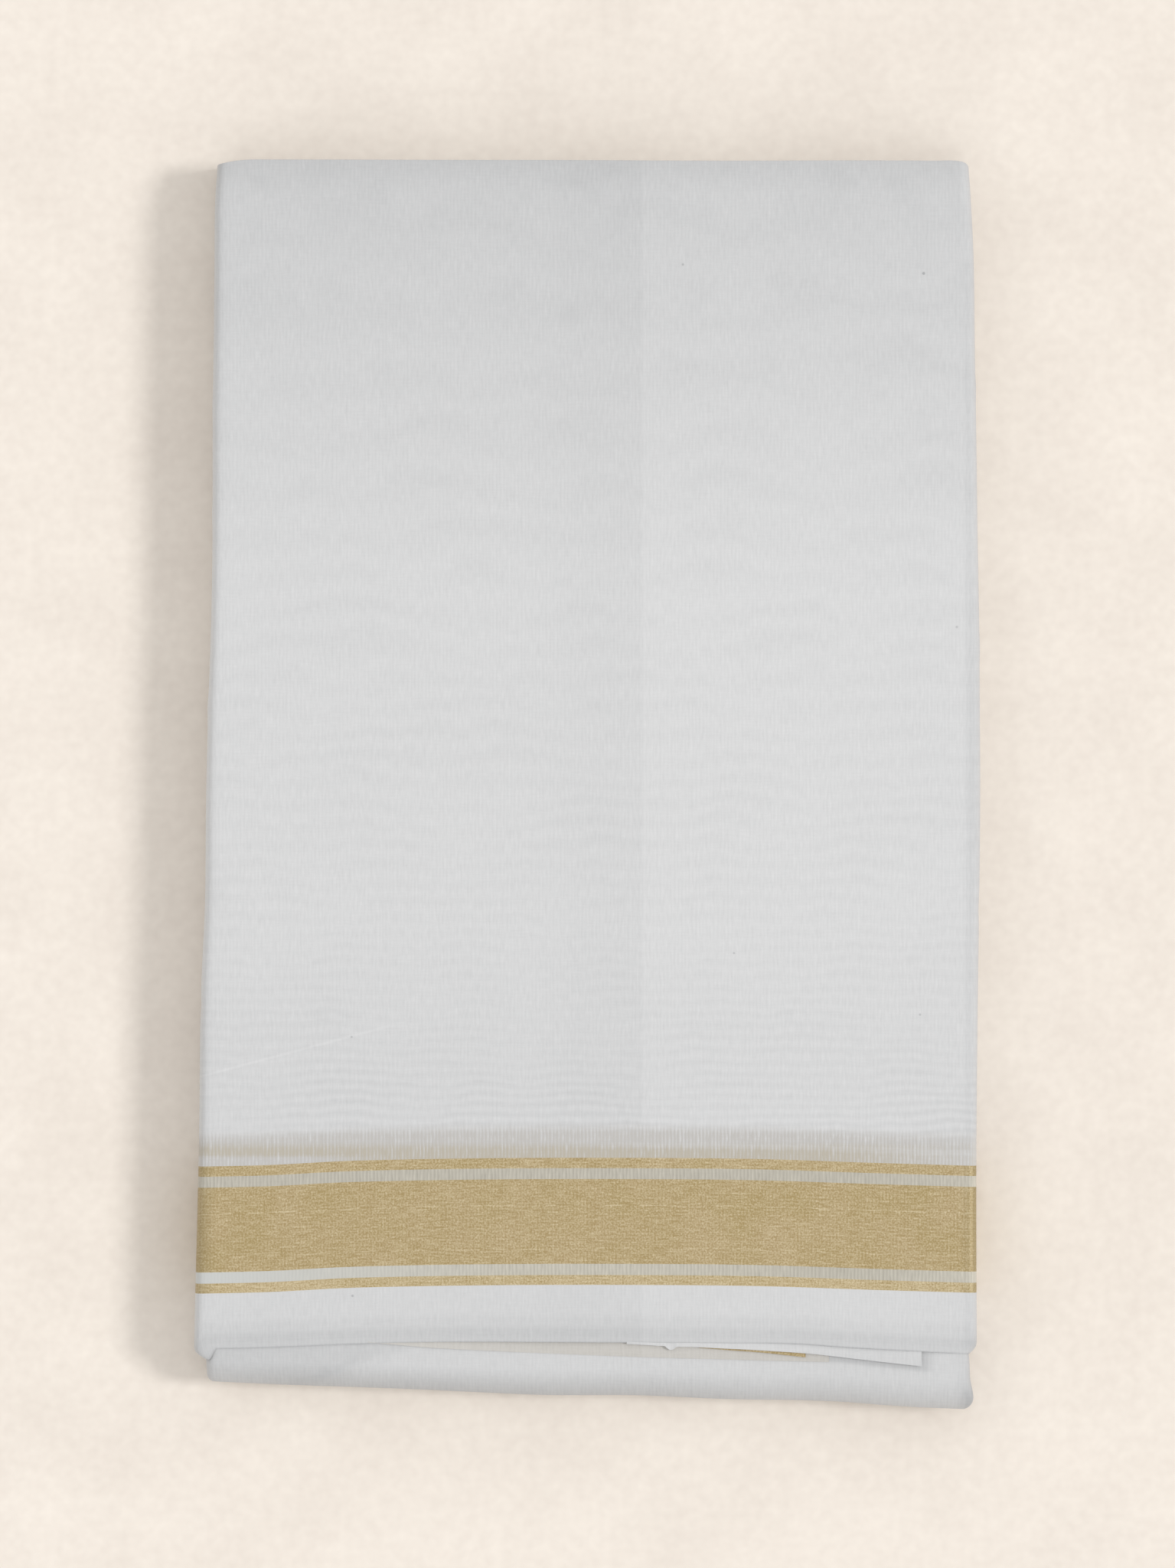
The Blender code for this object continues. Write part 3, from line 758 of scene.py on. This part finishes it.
def cotton(name, white=COTTON_WHITE, grey=COTTON_GREY, specks=()):
    """Fine plain-woven cotton, matt and slightly uneven, with painted shade and a painted highlight in its
    tones.
    """
    material, tree, cloth = new_cloth(name, clouds=CLOUDS)
    for slant, shares in SLANTS.items():
        cloth[slant] = weighted(tree, cloth, 0.0, shares, middle=0.0)
    tone = toned(tree, cloth, weighted(tree, cloth, BODY_TONE, COTTON_TEXTURE), TONES_AND_PAINTED_SHADE)
    tone = add_node(tree, "ShaderNodeMath", {0: moire(tree, cloth), 1: tone}, operation="ADD")[0]
    tone = speckled(tree, cloth, tone, specks)
    colour = veiled(tree, cloth, coloured(tree, linear(white), [(tone, grey)]))
    height = add_node(tree, "ShaderNodeMath", {0: cloth["warp"], 1: cloth["weft"]}, operation="ADD")[0]
    return finish_cloth(material, colour, height)


top_cotton = cotton("pressed_plain_woven_cotton", specks=SPECKS)
turned_cotton = cotton("turned_plain_woven_cotton")
# a darker, beige copy of the cotton for a strip of an inner layer: partly the gold below showing through,
# partly painted shade
shaded_cotton = cotton("sheer_inner_cotton_painted_shade", "#D2CFCA", "#A5A199")
print("Nodes in the top cotton:", len(top_cotton.node_tree.nodes))

# %% [markdown]
# ### Zari
#
# Zari is a flat metallic thread wound on a cotton core, woven across the cotton warp. From a step away it
# is a fine speckle of gold, tan and pale yarn, and only partly metal to the eye, so the metallic value is
# low and the roughness that of a dull foil. A speckle is the float of one thread, 0.42 mm long. Single
# cotton threads run through the band as rows of pale dashes, and the gold is darker where it turns at the
# sides, which is painted shade.

# %% Gold thread over cotton
FLOAT_LENGTH = 0.42
BLOTCH = 11.0
ZARI_GOLD = "#A48F5B"
ZARI_TAN = "#AA9269"
ZARI_PALE = "#D3C39F"
# the colour of the painted shade where the gold turns round the side folds
ZARI_PAINTED_SHADE = "#867851"
ZARI_LOOK = {**COTTON_LOOK, "Roughness": 0.5, "Metallic": 0.2, "Sheen Weight": 0}
ZARI_TEXTURE = {"speckle": 1.8, "weft": 1.0, "columns": 0.14, "warp": 0.2, "blotches": 0.25}
# where that painted shade lies, at the left and right side
PAINTED_SHADE_AT_ZARI_SIDES = (("x", -91.5, -94.5, 0, 0.25), ("x", 92.5, 96.5, 0, 0.5))
PICK_EDGE = 0.55 * THREAD
PICK_CORE = 0.2 * THREAD
PALE_PICKS = [
    (
        ("row", row - PICK_EDGE, row - PICK_CORE, 0, paler),
        ("row", row + PICK_EDGE, row + PICK_CORE, 0, 1),
        ("weft", 0.42, 0.55, 0, 1),
    )
    for row, paler in ((-106.4, 0.3), (-117.1, 0.18))
]


def zari(name, mean_light):
    """Metallic thread woven over cotton: speckled, with faint columns and soft blotches."""
    material, tree, cloth = new_cloth(name, speckle=(FLOAT_LENGTH, THREAD, 1), blotches=(BLOTCH, BLOTCH, 1))
    light = toned(tree, cloth, weighted(tree, cloth, mean_light, ZARI_TEXTURE), PALE_PICKS)
    layers = [(cloth["blotches"], ZARI_TAN), (light, ZARI_PALE)]
    # painted shade at both sides, where the band turns round the folds
    layers += [(stepped(tree, cloth, [side]), ZARI_PAINTED_SHADE) for side in PAINTED_SHADE_AT_ZARI_SIDES]
    colour = coloured(tree, linear(ZARI_GOLD), layers)
    return finish_cloth(material, colour, light, ZARI_LOOK)


zari_band = zari("woven_zari_band", 0.29)
upper_line = zari("woven_zari_line_upper", 0.33)
lower_line = zari("woven_zari_line_lower", 0.52)
print("Zari floats:", FLOAT_LENGTH, "by", THREAD, "mm")

# %% [markdown]
# ### Open cotton
#
# In the narrow gaps between the gold the weave is open: white threads over the darker layers beneath, which
# show less where the lower gap comes near the side folds. Its threads are the cotton's, so the same
# patterns draw them.

# %% The open gaps
GAP_DARK = "#A9A498"
GAP_LIGHT = "#D2CDBF"
GAP_WHITE = "#C7C8C5"
GAP_TEXTURE = {"warp": 0.7, "weft": 0.12, "columns": 0.3}


def open_cotton(name, mean_light, sides, whiter):
    """Thin white threads over what lies beneath, with its own sides and whiter at the left."""
    material, tree, cloth = new_cloth(name)
    light = toned(tree, cloth, weighted(tree, cloth, mean_light, GAP_TEXTURE), sides)
    white = stepped(tree, cloth, [("x", -20, -95, 0, whiter)])
    colour = coloured(tree, linear(GAP_DARK), [(light, GAP_LIGHT), (white, GAP_WHITE)])
    return finish_cloth(material, colour, light)


upper_sides = [[("x", 70, 95, 0, 0.12)]]
lower_sides = [[("x", 22, 60, 0, -0.15)], [("x", 70, 95, 0, 0.2)]]
upper_gap = open_cotton("open_weave_cotton_upper", 0.32, upper_sides, 0.05)
lower_gap = open_cotton("open_weave_cotton_lower", 0.49, lower_sides, 1.0)

# %% [markdown]
# ## The woven parts of the outer cloth
#
# The loom makes the parts in one length: field, gold line, open gap, wide gold band, gap, line, plain
# margin. Both sheets are cut at the same thread rows, so each woven part is a piece of its own, over and
# under the pack, and neighbours share the row where they meet. Mesh rows are closer near the far end, where
# the cloth bends.

# %% The rows of each woven part
FOLD_RADIUS = 0.28
FIELD_STEP = 1.8
FAR_ROWS_START = FAR_END - 8
WOVEN_PARTS = (
    # name, last row, rows in the mesh, material
    ("border_line_upper", -97.15, 4, upper_line), ("border_gap_upper", -99.85, 4, upper_gap),
    ("border_band", -120.8, 14, zari_band), ("border_gap_lower", -123.55, 4, lower_gap),
    ("border_line_lower", MARGIN_START, 4, lower_line), ("selvedge_margin", SELVEDGE, 16, top_cotton),
)
far_rows = np.linspace(FAR_ROWS_START, FAR_END - FOLD_RADIUS, 9)
parts = [("field", np.concatenate([np.arange(FIELD_END, FAR_ROWS_START, FIELD_STEP), far_rows]), top_cotton)]
first = FIELD_END
for part, last, count, material in WOVEN_PARTS:
    parts.append((part, np.sort(np.linspace(first, last, count)), material))
    first = last
print("Mesh rows:", {part: len(v) for part, v, material in parts})

# %% [markdown]
# The margin isn't held up at its edge, so over the last centimetre it sinks until it nearly lies on the
# fold below. At the far end each sheet turns over and runs back in, which closes its edge as a small, round
# fold.

# %% How the two ends of a sheet bend
EDGE_LIFT = (
    # x, gap between the selvedge and the fold below
    (-97, 0.03), (-85, 0.2), (-60, 0.3), (-30, 0.6), (34, 0.6), (84, 0.6), (88, 0.35), (92, 0.1), (97, 0.03),
)
EDGE_DIP_START = -131.0
DIP_FROM = 0.7 * THICKNESS
SELVEDGE_REST = THICKNESS - smooth_table(UNDER_TOP, SELVEDGE) - CLOTH
FOLD_DEGREES = (25, 50, 75, 100, 125, 150, 180)
FOLD_RETURN = 3.0
FOLD_ROW_STEP = 0.3


def selvedge_dip(points, v):
    """How far the margin sinks towards its edge, on the upper face of the pack."""
    depth = SELVEDGE_REST - smooth_table(EDGE_LIFT, points[..., 0])
    flat = ramp(points[..., 2], DIP_FROM, THICKNESS)
    return depth * ramp(v, EDGE_DIP_START, SELVEDGE)[:, None] * flat


def far_edge(points, threads, out):
    """The sheet with more rows, which turn over at the far end and run back in."""
    away = normals(points, out)[-1]
    ahead = np.array([0.0, 1.0, 0.0])
    rows = [
        points[-1] + FOLD_RADIUS * (math.sin(angle) * ahead - (1 - math.cos(angle)) * away)
        for angle in np.radians(FOLD_DEGREES)
    ]
    rows += [rows[-1] - FOLD_RETURN * ahead, rows[-1] - 2 * FOLD_RETURN * ahead]
    tail = np.repeat(threads[-1:], len(rows), axis=0)
    tail[..., 1] += np.arange(1, len(rows) + 1)[:, None] * FOLD_ROW_STEP
    return np.concatenate([points, np.array(rows)]), np.concatenate([threads, tail])


print(f"The margin sinks {SELVEDGE_REST:.2f} mm at most")

# %% [markdown]
# Both sheets are laid in the same way: the form, then the place in the cloth, then the creases, which fade
# out near the ground. So one function lays a sheet, and the nose uses it again.

# %% Lay a sheet and make the outer cloth
SHEETS = {
    # side: column where its place in the cloth is x, winding, how far round its threads lie from the other's
    "front": (FRONT_START, 1, 0.0),
    "back": (0, -1, 600.0),
}
GROUND_FADE = 1.5


def laid_sheet(side, v, section, shift, creases):
    """The points of a sheet over or under the pack, their places in the cloth, and the winding."""
    start, out, offset = SHEETS[side]
    points = sheet_form(side, v, section, shift)
    if side == "front" and section is outer_section:
        points[..., 2] -= selvedge_dip(points, v)
    threads = thread_map(points, v, start) + np.array([offset, 0.0])
    rise = creased(threads, creases) * ramp(points[..., 2], 0.0, GROUND_FADE)
    return points + normals(points, out) * rise[..., None], threads, out


for part, v, material in parts:
    for side in SHEETS:
        points, threads, out = laid_sheet(side, v, *PACK, CREASES[side])
        if part == "field":
            points, threads = far_edge(points, threads, out)
        add_sheet(f"{side}_{part}", points, threads, material, out)

# %% [markdown]
# Each sheet is printed with what it rests on and the narrow woven parts beside it, which are too thin to
# count as sheets of their own.

for side in SHEETS:
    upper = [f"{side}_border_line_upper_cloth", f"{side}_border_gap_upper_cloth"]
    lower = [f"{side}_border_gap_lower_cloth", f"{side}_border_line_lower_cloth"]
    declare(f"{side}_field_cloth", ["folded_core"], upper)
    declare(f"{side}_border_band_cloth", ["folded_core"], lower)
    declare(f"{side}_selvedge_margin_cloth", [f"under_fold_{side}"])

# %% [markdown]
# ## The folds that reach past the selvedges
#
# Below the selvedge the plain folds of the inner layers show. Sixteen pairs of them lie on each other and
# droop to a rounded nose. The top one is a sheet that runs over the nose, and the bottom one comes up from
# below.

# %% The top and bottom sheets of the nose
NOSE_OPEN_TOP = 9.0
NOSE_OPEN_LOW = 4.2
NOSE_HIDDEN = 3.0
NOSE_STEP = 1.3
NOSE_CURVE_ROWS = 16


def nose_rows(start, height, open_height):
    """Thread rows over the nose: even ones on the flat and closer ones towards its tip."""
    last = math.asin((open_height - NOSE_TIP_HEIGHT) / (height - NOSE_TIP_HEIGHT))
    angles = np.linspace(math.pi / 2, last, NOSE_CURVE_ROWS)
    curved = NOSE_TIP + (start - NOSE_TIP) * (1 - np.cos(angles))
    flat = np.arange(TONGUE_START - NOSE_HIDDEN, start, -NOSE_STEP)
    return np.concatenate([flat, curved])[::-1]


top_height = UNDER_TOP[0][1]
for side, v in (
    ("front", nose_rows(NOSE_TOP_START, top_height, NOSE_OPEN_TOP)),
    ("back", nose_rows(NOSE_BOTTOM_START, 0.0, NOSE_OPEN_LOW)),
):
    points, threads, out = laid_sheet(side, v, *NOSE, CREASES["nose"])
    add_sheet(f"under_fold_{side}", points, threads, turned_cotton, out, NOSE_ROW_OFFSET)

# %% [markdown]
# The edges of the folds between those two show in the opening that faces the near side. They are only
# ridges of a millimetre or two, so one rippled grid stands for them: a ridge for each fold, and two slow
# waves that vary them.

# %% The folded edges in the opening of the nose
NOSE_FOLDS = 9
NOSE_FOLD_STEPS = 6
NOSE_FOLD_DEPTH = 0.45
NOSE_SETBACK = 0.55
NOSE_OVERLAP = 0.8
NOSE_ENDS = (0.7, 0.4)
NOSE_COLUMNS = 100
NOSE_FOLD_ROW = -160.0
NOSE_WAVES = (
    # depth, phase from fold to fold, millimetres for each radian
    (0.18, 2.4, 31),
    (0.12, 5.1, -17),
)


def nose_opening():
    """A grid of points across the opening, with a soft ridge for each folded edge."""
    count = NOSE_FOLDS * NOSE_FOLD_STEPS + 1
    heights = np.linspace(NOSE_OPEN_LOW - NOSE_OVERLAP, NOSE_OPEN_TOP + NOSE_OVERLAP, count)
    left, right = tongue_section(np.array([NOSE_TIP + 0.5]))[:2]
    x = np.linspace(left[0] + NOSE_ENDS[0], right[0] - NOSE_ENDS[1], NOSE_COLUMNS)
    above = heights > NOSE_TIP_HEIGHT
    half = np.where(above, top_height - NOSE_TIP_HEIGHT, NOSE_TIP_HEIGHT)
    reach = np.where(above, NOSE_TOP_START - NOSE_TIP, NOSE_BOTTOM_START - NOSE_TIP)
    back = reach * quarter_drop(np.abs(heights - NOSE_TIP_HEIGHT), half)
    share = np.linspace(0, NOSE_FOLDS, count)
    ripple = NOSE_FOLD_DEPTH * (1 - np.sqrt(np.abs(np.sin(math.pi * share))))
    y = NOSE_TIP + NOSE_SETBACK + (back + ripple)[:, None] + tongue_shift(x, NOSE_TIP)[None, :]
    fold = np.minimum(share.astype(int), NOSE_FOLDS - 1)[:, None]
    for depth, phase, length in NOSE_WAVES:
        y = y + depth * np.sin(fold * phase + x[None, :] / length)
    grid_x, grid_z = np.meshgrid(x, heights)
    return np.stack([grid_x, y, grid_z], 2)


points = nose_opening()
threads = points[..., [0, 2]] + np.array([0.0, NOSE_FOLD_ROW])
add_piece("nose_folds", [shell(points, threads)], turned_cotton, grid_size(points))

# %% [markdown]
# ## What shows of the second layer
#
# Under the top selvedge lies the selvedge of the next layer, slipped a few millimetres. A white strip of it
# shows at the right, a sliver of its gold line left of that, and a beige sliver where a third layer is in
# shade. Each is a narrow grid between the selvedge and its own lower edge, which is one more smooth curve.

# %% The strips below the selvedge
STRIPS = {
    # name: material, height above the fold, lower edge as x and y
    "inner_selvedge_flap": (turned_cotton, 0.42, (
        (10, -138.2), (17.8, -138.7), (19.6, -138.9), (20.4, -139.6), (21.4, -139.6), (22.2, -139),
        (23.5, -138.95), (32.9, -139.3), (44.3, -139.9), (55.6, -140.7), (67, -142), (76.5, -143.1),
        (82.9, -143.8),
    )),
    "inner_border_glimpse": (upper_line, 0.26, ((28, -139.2), (34, -139.7), (44.3, -140.5), (54.2, -141.6))),
    "inner_layer_edge": (shaded_cotton, 0.12, (
        (-54, -137.9), (-51.7, -138.1), (-39, -139.2), (-22, -140.1), (-1, -141), (18, -141.7), (33, -142.1),
        (44, -142.4), (56, -142.7), (60, -142.8),
    )),
}
STRIP_STEP = 0.4
STRIP_ROWS = 9
STRIP_COVERED = 1.6
STRIP_LEAST = 0.4
STRIP_CURL = 1.6
STRIP_ROW_OFFSET = 7.0


def strip_grid(lift, edge):
    """A strip from under the selvedge, which lies on the fold below and curls up at its edge."""
    x = np.linspace(edge[0][0], edge[-1][0], int((edge[-1][0] - edge[0][0]) / STRIP_STEP))
    low = smooth_table(edge, x)
    selvedge = SELVEDGE + outer_shift(x, np.full_like(x, SELVEDGE))
    high = np.maximum(selvedge + STRIP_COVERED, low + STRIP_LEAST)
    share = np.linspace(0, 1, STRIP_ROWS)[:, None]
    y = low + (high - low) * share
    height = smooth_table(UNDER_TOP, y - tongue_shift(x, y)) + lift + STRIP_CURL * lift * (1 - share) ** 2
    return np.stack([x + 0 * share, y, height], 2)


for name, (material, lift, edge) in STRIPS.items():
    points = strip_grid(lift, edge)
    add_sheet(name, points, points[..., :2], material, row=STRIP_ROW_OFFSET)
declare("under_fold_front_cloth", ["folded_core"], ["nose_folds"] + [name + "_cloth" for name in STRIPS])
declare("under_fold_back_cloth", ["folded_core"])

# %% [markdown]
# ## The folded edges at the far end
#
# Folding in half five times takes the strip of cloth to and fro in an order that can be worked out: a group
# of layers is joined to its mirror group at the left, and at the right to its mirror within each fold
# there. Followed from the cut end, it is one path through all 32 groups, cut where it is the outer cloth.

# %% The path of the folded strip
SIDE_FOLDS = (
    # first group, last group, reach of the fold at the right
    (1, 16, 3.0),
    (19, 20, 1.2),
    (21, 24, 1.7),
    (25, 32, 2.25),
)
CUT_END_GROUP = 17
OUTER_GROUPS = (1, GROUPS)
ARC_POINTS = 13
RUN_POINTS = 26


def right_partner(group):
    """The group joined to one at the right, and the half height, depth and reach of their fold."""
    for first, last, reach in SIDE_FOLDS:
        if first <= group <= last:
            return first + last - group, (last - first + 1) / 2 * PITCH, (first + last - 1) / 2 * PITCH, reach
    return None, 0, 0, 0


def group_height(group):
    """The middle of a group of layers above the surface that the pack lies on."""
    return THICKNESS - (group - 0.5) * PITCH


def fold_arc(side, group, partner):
    """Points x and z round the fold that joins two groups, in order."""
    if side < 0:
        full, depth, reach = THICKNESS / 2, THICKNESS / 2, LEFT_REACH
        edge = OUTLINE[-1][1] + reach
    else:
        full, depth, reach = right_partner(group)[1:]
        edge = OUTLINE[-1][2] - reach
    half = abs(group_height(group) - group_height(partner)) / 2
    reach = reach * half / full
    down = 90 if group < partner else -90
    turn = np.linspace(down, -down, ARC_POINTS)
    return np.stack(side_fold(side, edge + side * reach, THICKNESS - depth, half, reach, turn), 1)


def strip_path():
    """The runs of the folded strip as lists of points x and z."""
    left, right = OUTLINE[-1][1] + LEFT_REACH, OUTLINE[-1][2] - RIGHT_REACH
    stretches, current = [], []
    group, side = CUT_END_GROUP, -1
    while group is not None:
        beside = right_partner(group)[0]
        partner = GROUPS + 1 - group if side < 0 else beside
        inner = right - TURN_IN.max() - CLOTH if beside in OUTER_GROUPS else right
        x = np.linspace(inner, left, RUN_POINTS)[::-side]
        if group in OUTER_GROUPS:
            stretches += [np.concatenate(current)] if current else []
            current = []
        else:
            current.append(np.stack([x, np.full_like(x, group_height(group))], 1))
            if partner is not None and partner not in OUTER_GROUPS:
                current.append(fold_arc(side, group, partner)[1:-1])
        group, side = partner, -side
    return stretches + [np.concatenate(current)]


stretches = strip_path()
print("Points in each stretch of the path:", [len(path) for path in stretches])

# %% [markdown]
# Swept along that path, a narrow U is the folded edge. It varies a little in reach from layer to layer, as
# no folding is exact, and it is squeezed as the pack is where the far end sinks.

# %% Sweep the folded edge along the path
EDGE_RADIUS = 0.24
EDGE_POINTS = 7
EDGE_DEPTH = 0.5
EDGE_SETBACK = 0.7
EDGE_RETURN = 10.0
EDGE_ROUND_SHARE = 1.06
EDGE_VARIES = 0.35
EDGE_WAVE = (0.2, 23)
EDGE_ROW = 160
SMOOTHING = 7


def edge_tube(path, seed):
    """A closed strip with a rounded far edge that follows a path of x and z, and its length."""
    ahead = np.gradient(path, axis=0)
    ahead /= np.linalg.norm(ahead, axis=1, keepdims=True)
    across = np.stack([-ahead[:, 1], ahead[:, 0]], 1)
    angles = np.radians(np.linspace(-90, 90, EDGE_POINTS))
    offset = np.concatenate([[-1], np.sin(angles), [1]]) * EDGE_RADIUS
    depth = np.concatenate([[-EDGE_RETURN], EDGE_DEPTH * np.cos(angles), [-EDGE_RETURN]])
    level = np.round((THICKNESS - path[:, 1]) / PITCH)
    draw = np.random.default_rng(seed)
    phase = draw.uniform(0, 6, GROUPS + 1)[np.clip(level.astype(int), 0, GROUPS)]
    uneven = EDGE_VARIES * np.sin(phase) + EDGE_WAVE[0] * np.sin(path[:, 0] / EDGE_WAVE[1] + phase * 3)
    uneven = np.pad(uneven, SMOOTHING // 2, mode="edge")
    uneven = np.convolve(uneven, np.ones(SMOOTHING) / SMOOTHING, mode="valid")
    x = path[:, :1] + across[:, :1] * offset
    z = path[:, 1:] + across[:, 1:] * offset
    y = FAR_END - EDGE_DEPTH - EDGE_SETBACK + uneven[:, None] + depth - smooth_table(FAR_CORNERS, path[:, :1])
    squeeze = outer_section(y.ravel())[3].reshape(y.shape) / THICKNESS
    points = np.stack([x, y, z * squeeze], 2)
    length = np.concatenate([[0], np.cumsum(np.linalg.norm(np.diff(path, axis=0), axis=1))])
    threads = np.stack(np.broadcast_arrays(length[:, None], EDGE_ROW + depth), 2)
    rows, columns = points.shape[:2]
    index = np.arange(rows * columns).reshape(rows, columns)
    sides = grid_faces(np.concatenate([index, index[:, :1]], 1))[:, [0, 3, 2, 1]]
    first = np.arange(columns // 2 - 1)
    caps = index[:, np.stack([first, first + 1, columns - 2 - first, columns - 1 - first], 1)]
    faces = np.concatenate([sides, caps[0], caps[-1][:, ::-1]])
    return (points.reshape(-1, 3), threads.reshape(-1, 2), faces), length[-1]


tubes = [edge_tube(path, seed) for seed, path in enumerate(stretches)]
far_flat = (EDGE_RETURN * MM * EDGE_ROUND_SHARE, sum(length for tube, length in tubes) * MM)
add_piece("far_folds", [tube for tube, length in tubes], turned_cotton, far_flat, ["folded_core"])
declare("far_folds", ["back_field"])

# %% [markdown]
# ## The short folds at the right side
#
# Between the upper fold and the lowest one the side is open, and three more things show along the whole
# pack: the second fold, the first fold and the two cut ends. The woven parts run round them too.

# %% The short folds at the right side
SHORT_FOLDS = (
    # lowest and highest, as shares of the height of the pack, and reach
    (0.25, 0.375, 1.7),
    (0.375, 0.4375, 1.2),
)
FOLD_FILL = 0.93
FOLD_SETBACK = 0.4
FOLD_TURN = np.linspace(-90, 90, 13)[None, :]
CUT_ENDS = (0.445, 0.459, 0.472, 0.486)
CUT_SETBACK = 0.9
CUT_FLAT = 2.5
CUT_WALL = 0.8 * CLOTH
CUT_WAVES = (
    # depth, millimetres for each radian, phase from layer to layer
    (0.5, 17, 2.1),
    (0.15, 1.7, 1),
)
SIDE_BACK = 7.0


def short_folds(v, section, shift):
    """Grids and shells of the short folds at the right side, for the thread rows v."""
    right, low, high = (size[:, None] for size in section(v)[1:])
    height = high - low
    grids = []
    for bottom, top, reach in SHORT_FOLDS:
        centre, half = low + height * (bottom + top) / 2, height * (top - bottom) / 2 * FOLD_FILL
        x_fold, z_fold = side_fold(1, right - FOLD_SETBACK, centre, half, reach, FOLD_TURN)
        x = np.concatenate([right - SIDE_BACK, x_fold, right - SIDE_BACK], 1)
        grids.append((x, np.concatenate([centre - half, z_fold, centre + half], 1), -1, CLOTH))
    for number, share in enumerate(CUT_ENDS):
        waves = [depth * np.sin(v[:, None] / length + phase * number) for depth, length, phase in CUT_WAVES]
        x = np.concatenate([right - SIDE_BACK, right - CUT_FLAT, right - CUT_SETBACK - sum(waves)], 1)
        grids.append((x, low + height * share, 1, CUT_WALL))
    shells = []
    for x, z, out, wall in grids:
        points = on_rows(x, z, v, shift)
        shells.append((points, shell(points, thread_map(points, v, 0), out, wall)))
    return shells


print("The side has", len(SHORT_FOLDS), "short folds and", len(CUT_ENDS), "layers of cut ends")

# %% [markdown]
# They are cut at the same rows as the outer cloth, so each woven part has its own piece here too, and the
# nose has one more.

# %% Make the short folds
NOSE_SIDE_ROWS = np.linspace(NOSE_TIP + 0.8, SELVEDGE + 1.5, 12)
SIDE_END = FAR_END - 1.5
side_parts = [(part, v, PACK, material) for part, v, material in parts]
side_parts.append(("nose", NOSE_SIDE_ROWS, NOSE, turned_cotton))
for part, v, form, material in side_parts:
    shells = short_folds(v[v < SIDE_END], *form)
    sizes = [grid_size(points) for points, made in shells]
    flat = (sum(width for width, length in sizes), sizes[0][1])
    add_piece(f"side_folds_{part}", [made for points, made in shells], material, flat)
declare("side_folds_field", ["back_field"], [f"side_folds_{part}" for part, *rest in side_parts[1:]])

# %% [markdown]
# ## The setting
#
# The pack lies on a plain cream board, matt and faintly mottled. Noise of two sizes mixes two close creams,
# so the floor isn't flat to the eye and still stays quiet.

# %% The floor
FLOOR_HALF = 3.0
FLOOR_LIGHT = "#F5ECE1"
FLOOR_DARK = "#E9DFD4"
MOTTLE = {3: 0.6, 25: 0.6}  # weight of the noise of each size in millimetres
floor_material = bpy.data.materials.new("matt_cream_board")
floor_material.use_nodes = True
tree = floor_material.node_tree
place = add_node(tree, "ShaderNodeNewGeometry", {})[0]
board = {}
for size in MOTTLE:
    noise = {"Vector": place, "Scale": 1 / (size * MM), "Detail": 1}
    board[size] = add_node(tree, "ShaderNodeTexNoise", noise)[0]
board["mottle"] = weighted(tree, board, 0.0, MOTTLE, middle=0.0)
share = stepped(tree, board, [("mottle", 0.3, 0.9, 0, 1)])
cream = coloured(tree, linear(FLOOR_LIGHT), [(share, FLOOR_DARK)])
set_inputs(tree, tree.nodes["Principled BSDF"], {"Base Color": cream, "Roughness": 0.95})
mesh = bpy.data.meshes.new("floor")
corners = [(x * FLOOR_HALF, y * FLOOR_HALF, 0) for x, y in ((-1, -1), (1, -1), (1, 1), (-1, 1))]
mesh.from_pydata(corners, [], [(0, 1, 2, 3)])
mesh.materials.append(floor_material)
floor = put("floor", mesh)
print("The floor is", 2 * FLOOR_HALF, "m wide")

# %% [markdown]
# A white sky gives most of the light, as a large soft box would, and a soft sun from the right gives the
# rest. It leaves the soft shadow along the left side and keeps the white cloth from looking flat.

# %% Light
AMBIENT = 0.79
KEY = 1.25
KEY_WIDTH = 14
KEY_ELEVATION = 42
KEY_AZIMUTH = 3
world = bpy.data.worlds.new("soft_white_sky")
world.use_nodes = True
tree = world.node_tree
set_inputs(tree, tree.nodes["Background"], {"Color": (1, 1, 1, 1), "Strength": AMBIENT})
bpy.context.scene.world = world
sun_data = bpy.data.lights.new("soft_key", "SUN")
sun_data.energy = KEY
sun_data.angle = math.radians(KEY_WIDTH)
sun = put("soft_key", sun_data)
sun.rotation_euler = (0, math.radians(90 - KEY_ELEVATION), math.radians(KEY_AZIMUTH))
bpy.context.scene.view_settings.view_transform = "Standard"
print("Sky", AMBIENT, "and sun", KEY, "at", KEY_ELEVATION, "degrees")

# %% [markdown]
# The camera hangs straight above, over two metres up, so that the sides of the pack hardly show. Its lens
# follows from the height of the picture in the cloth's own millimetres.

# %% Camera
PIXEL = 0.19
PHOTO_HEIGHT = 2048
CAMERA_HEIGHT = 2200.0
CAMERA_PLACE = (0.3, 0.1, THICKNESS + CAMERA_HEIGHT)
SENSOR = 36.0
camera_data = bpy.data.cameras.new("overhead")
camera_data.sensor_fit = "VERTICAL"
camera_data.sensor_height = SENSOR
camera_data.lens = SENSOR * (CAMERA_HEIGHT + THICKNESS / 2) / (PHOTO_HEIGHT * PIXEL)
camera = put("overhead", camera_data)
camera.location = [place * MM for place in CAMERA_PLACE]
bpy.context.scene.camera = camera
print(f"Lens {camera_data.lens:.1f} mm, {CAMERA_HEIGHT * MM:.1f} m above the pack")
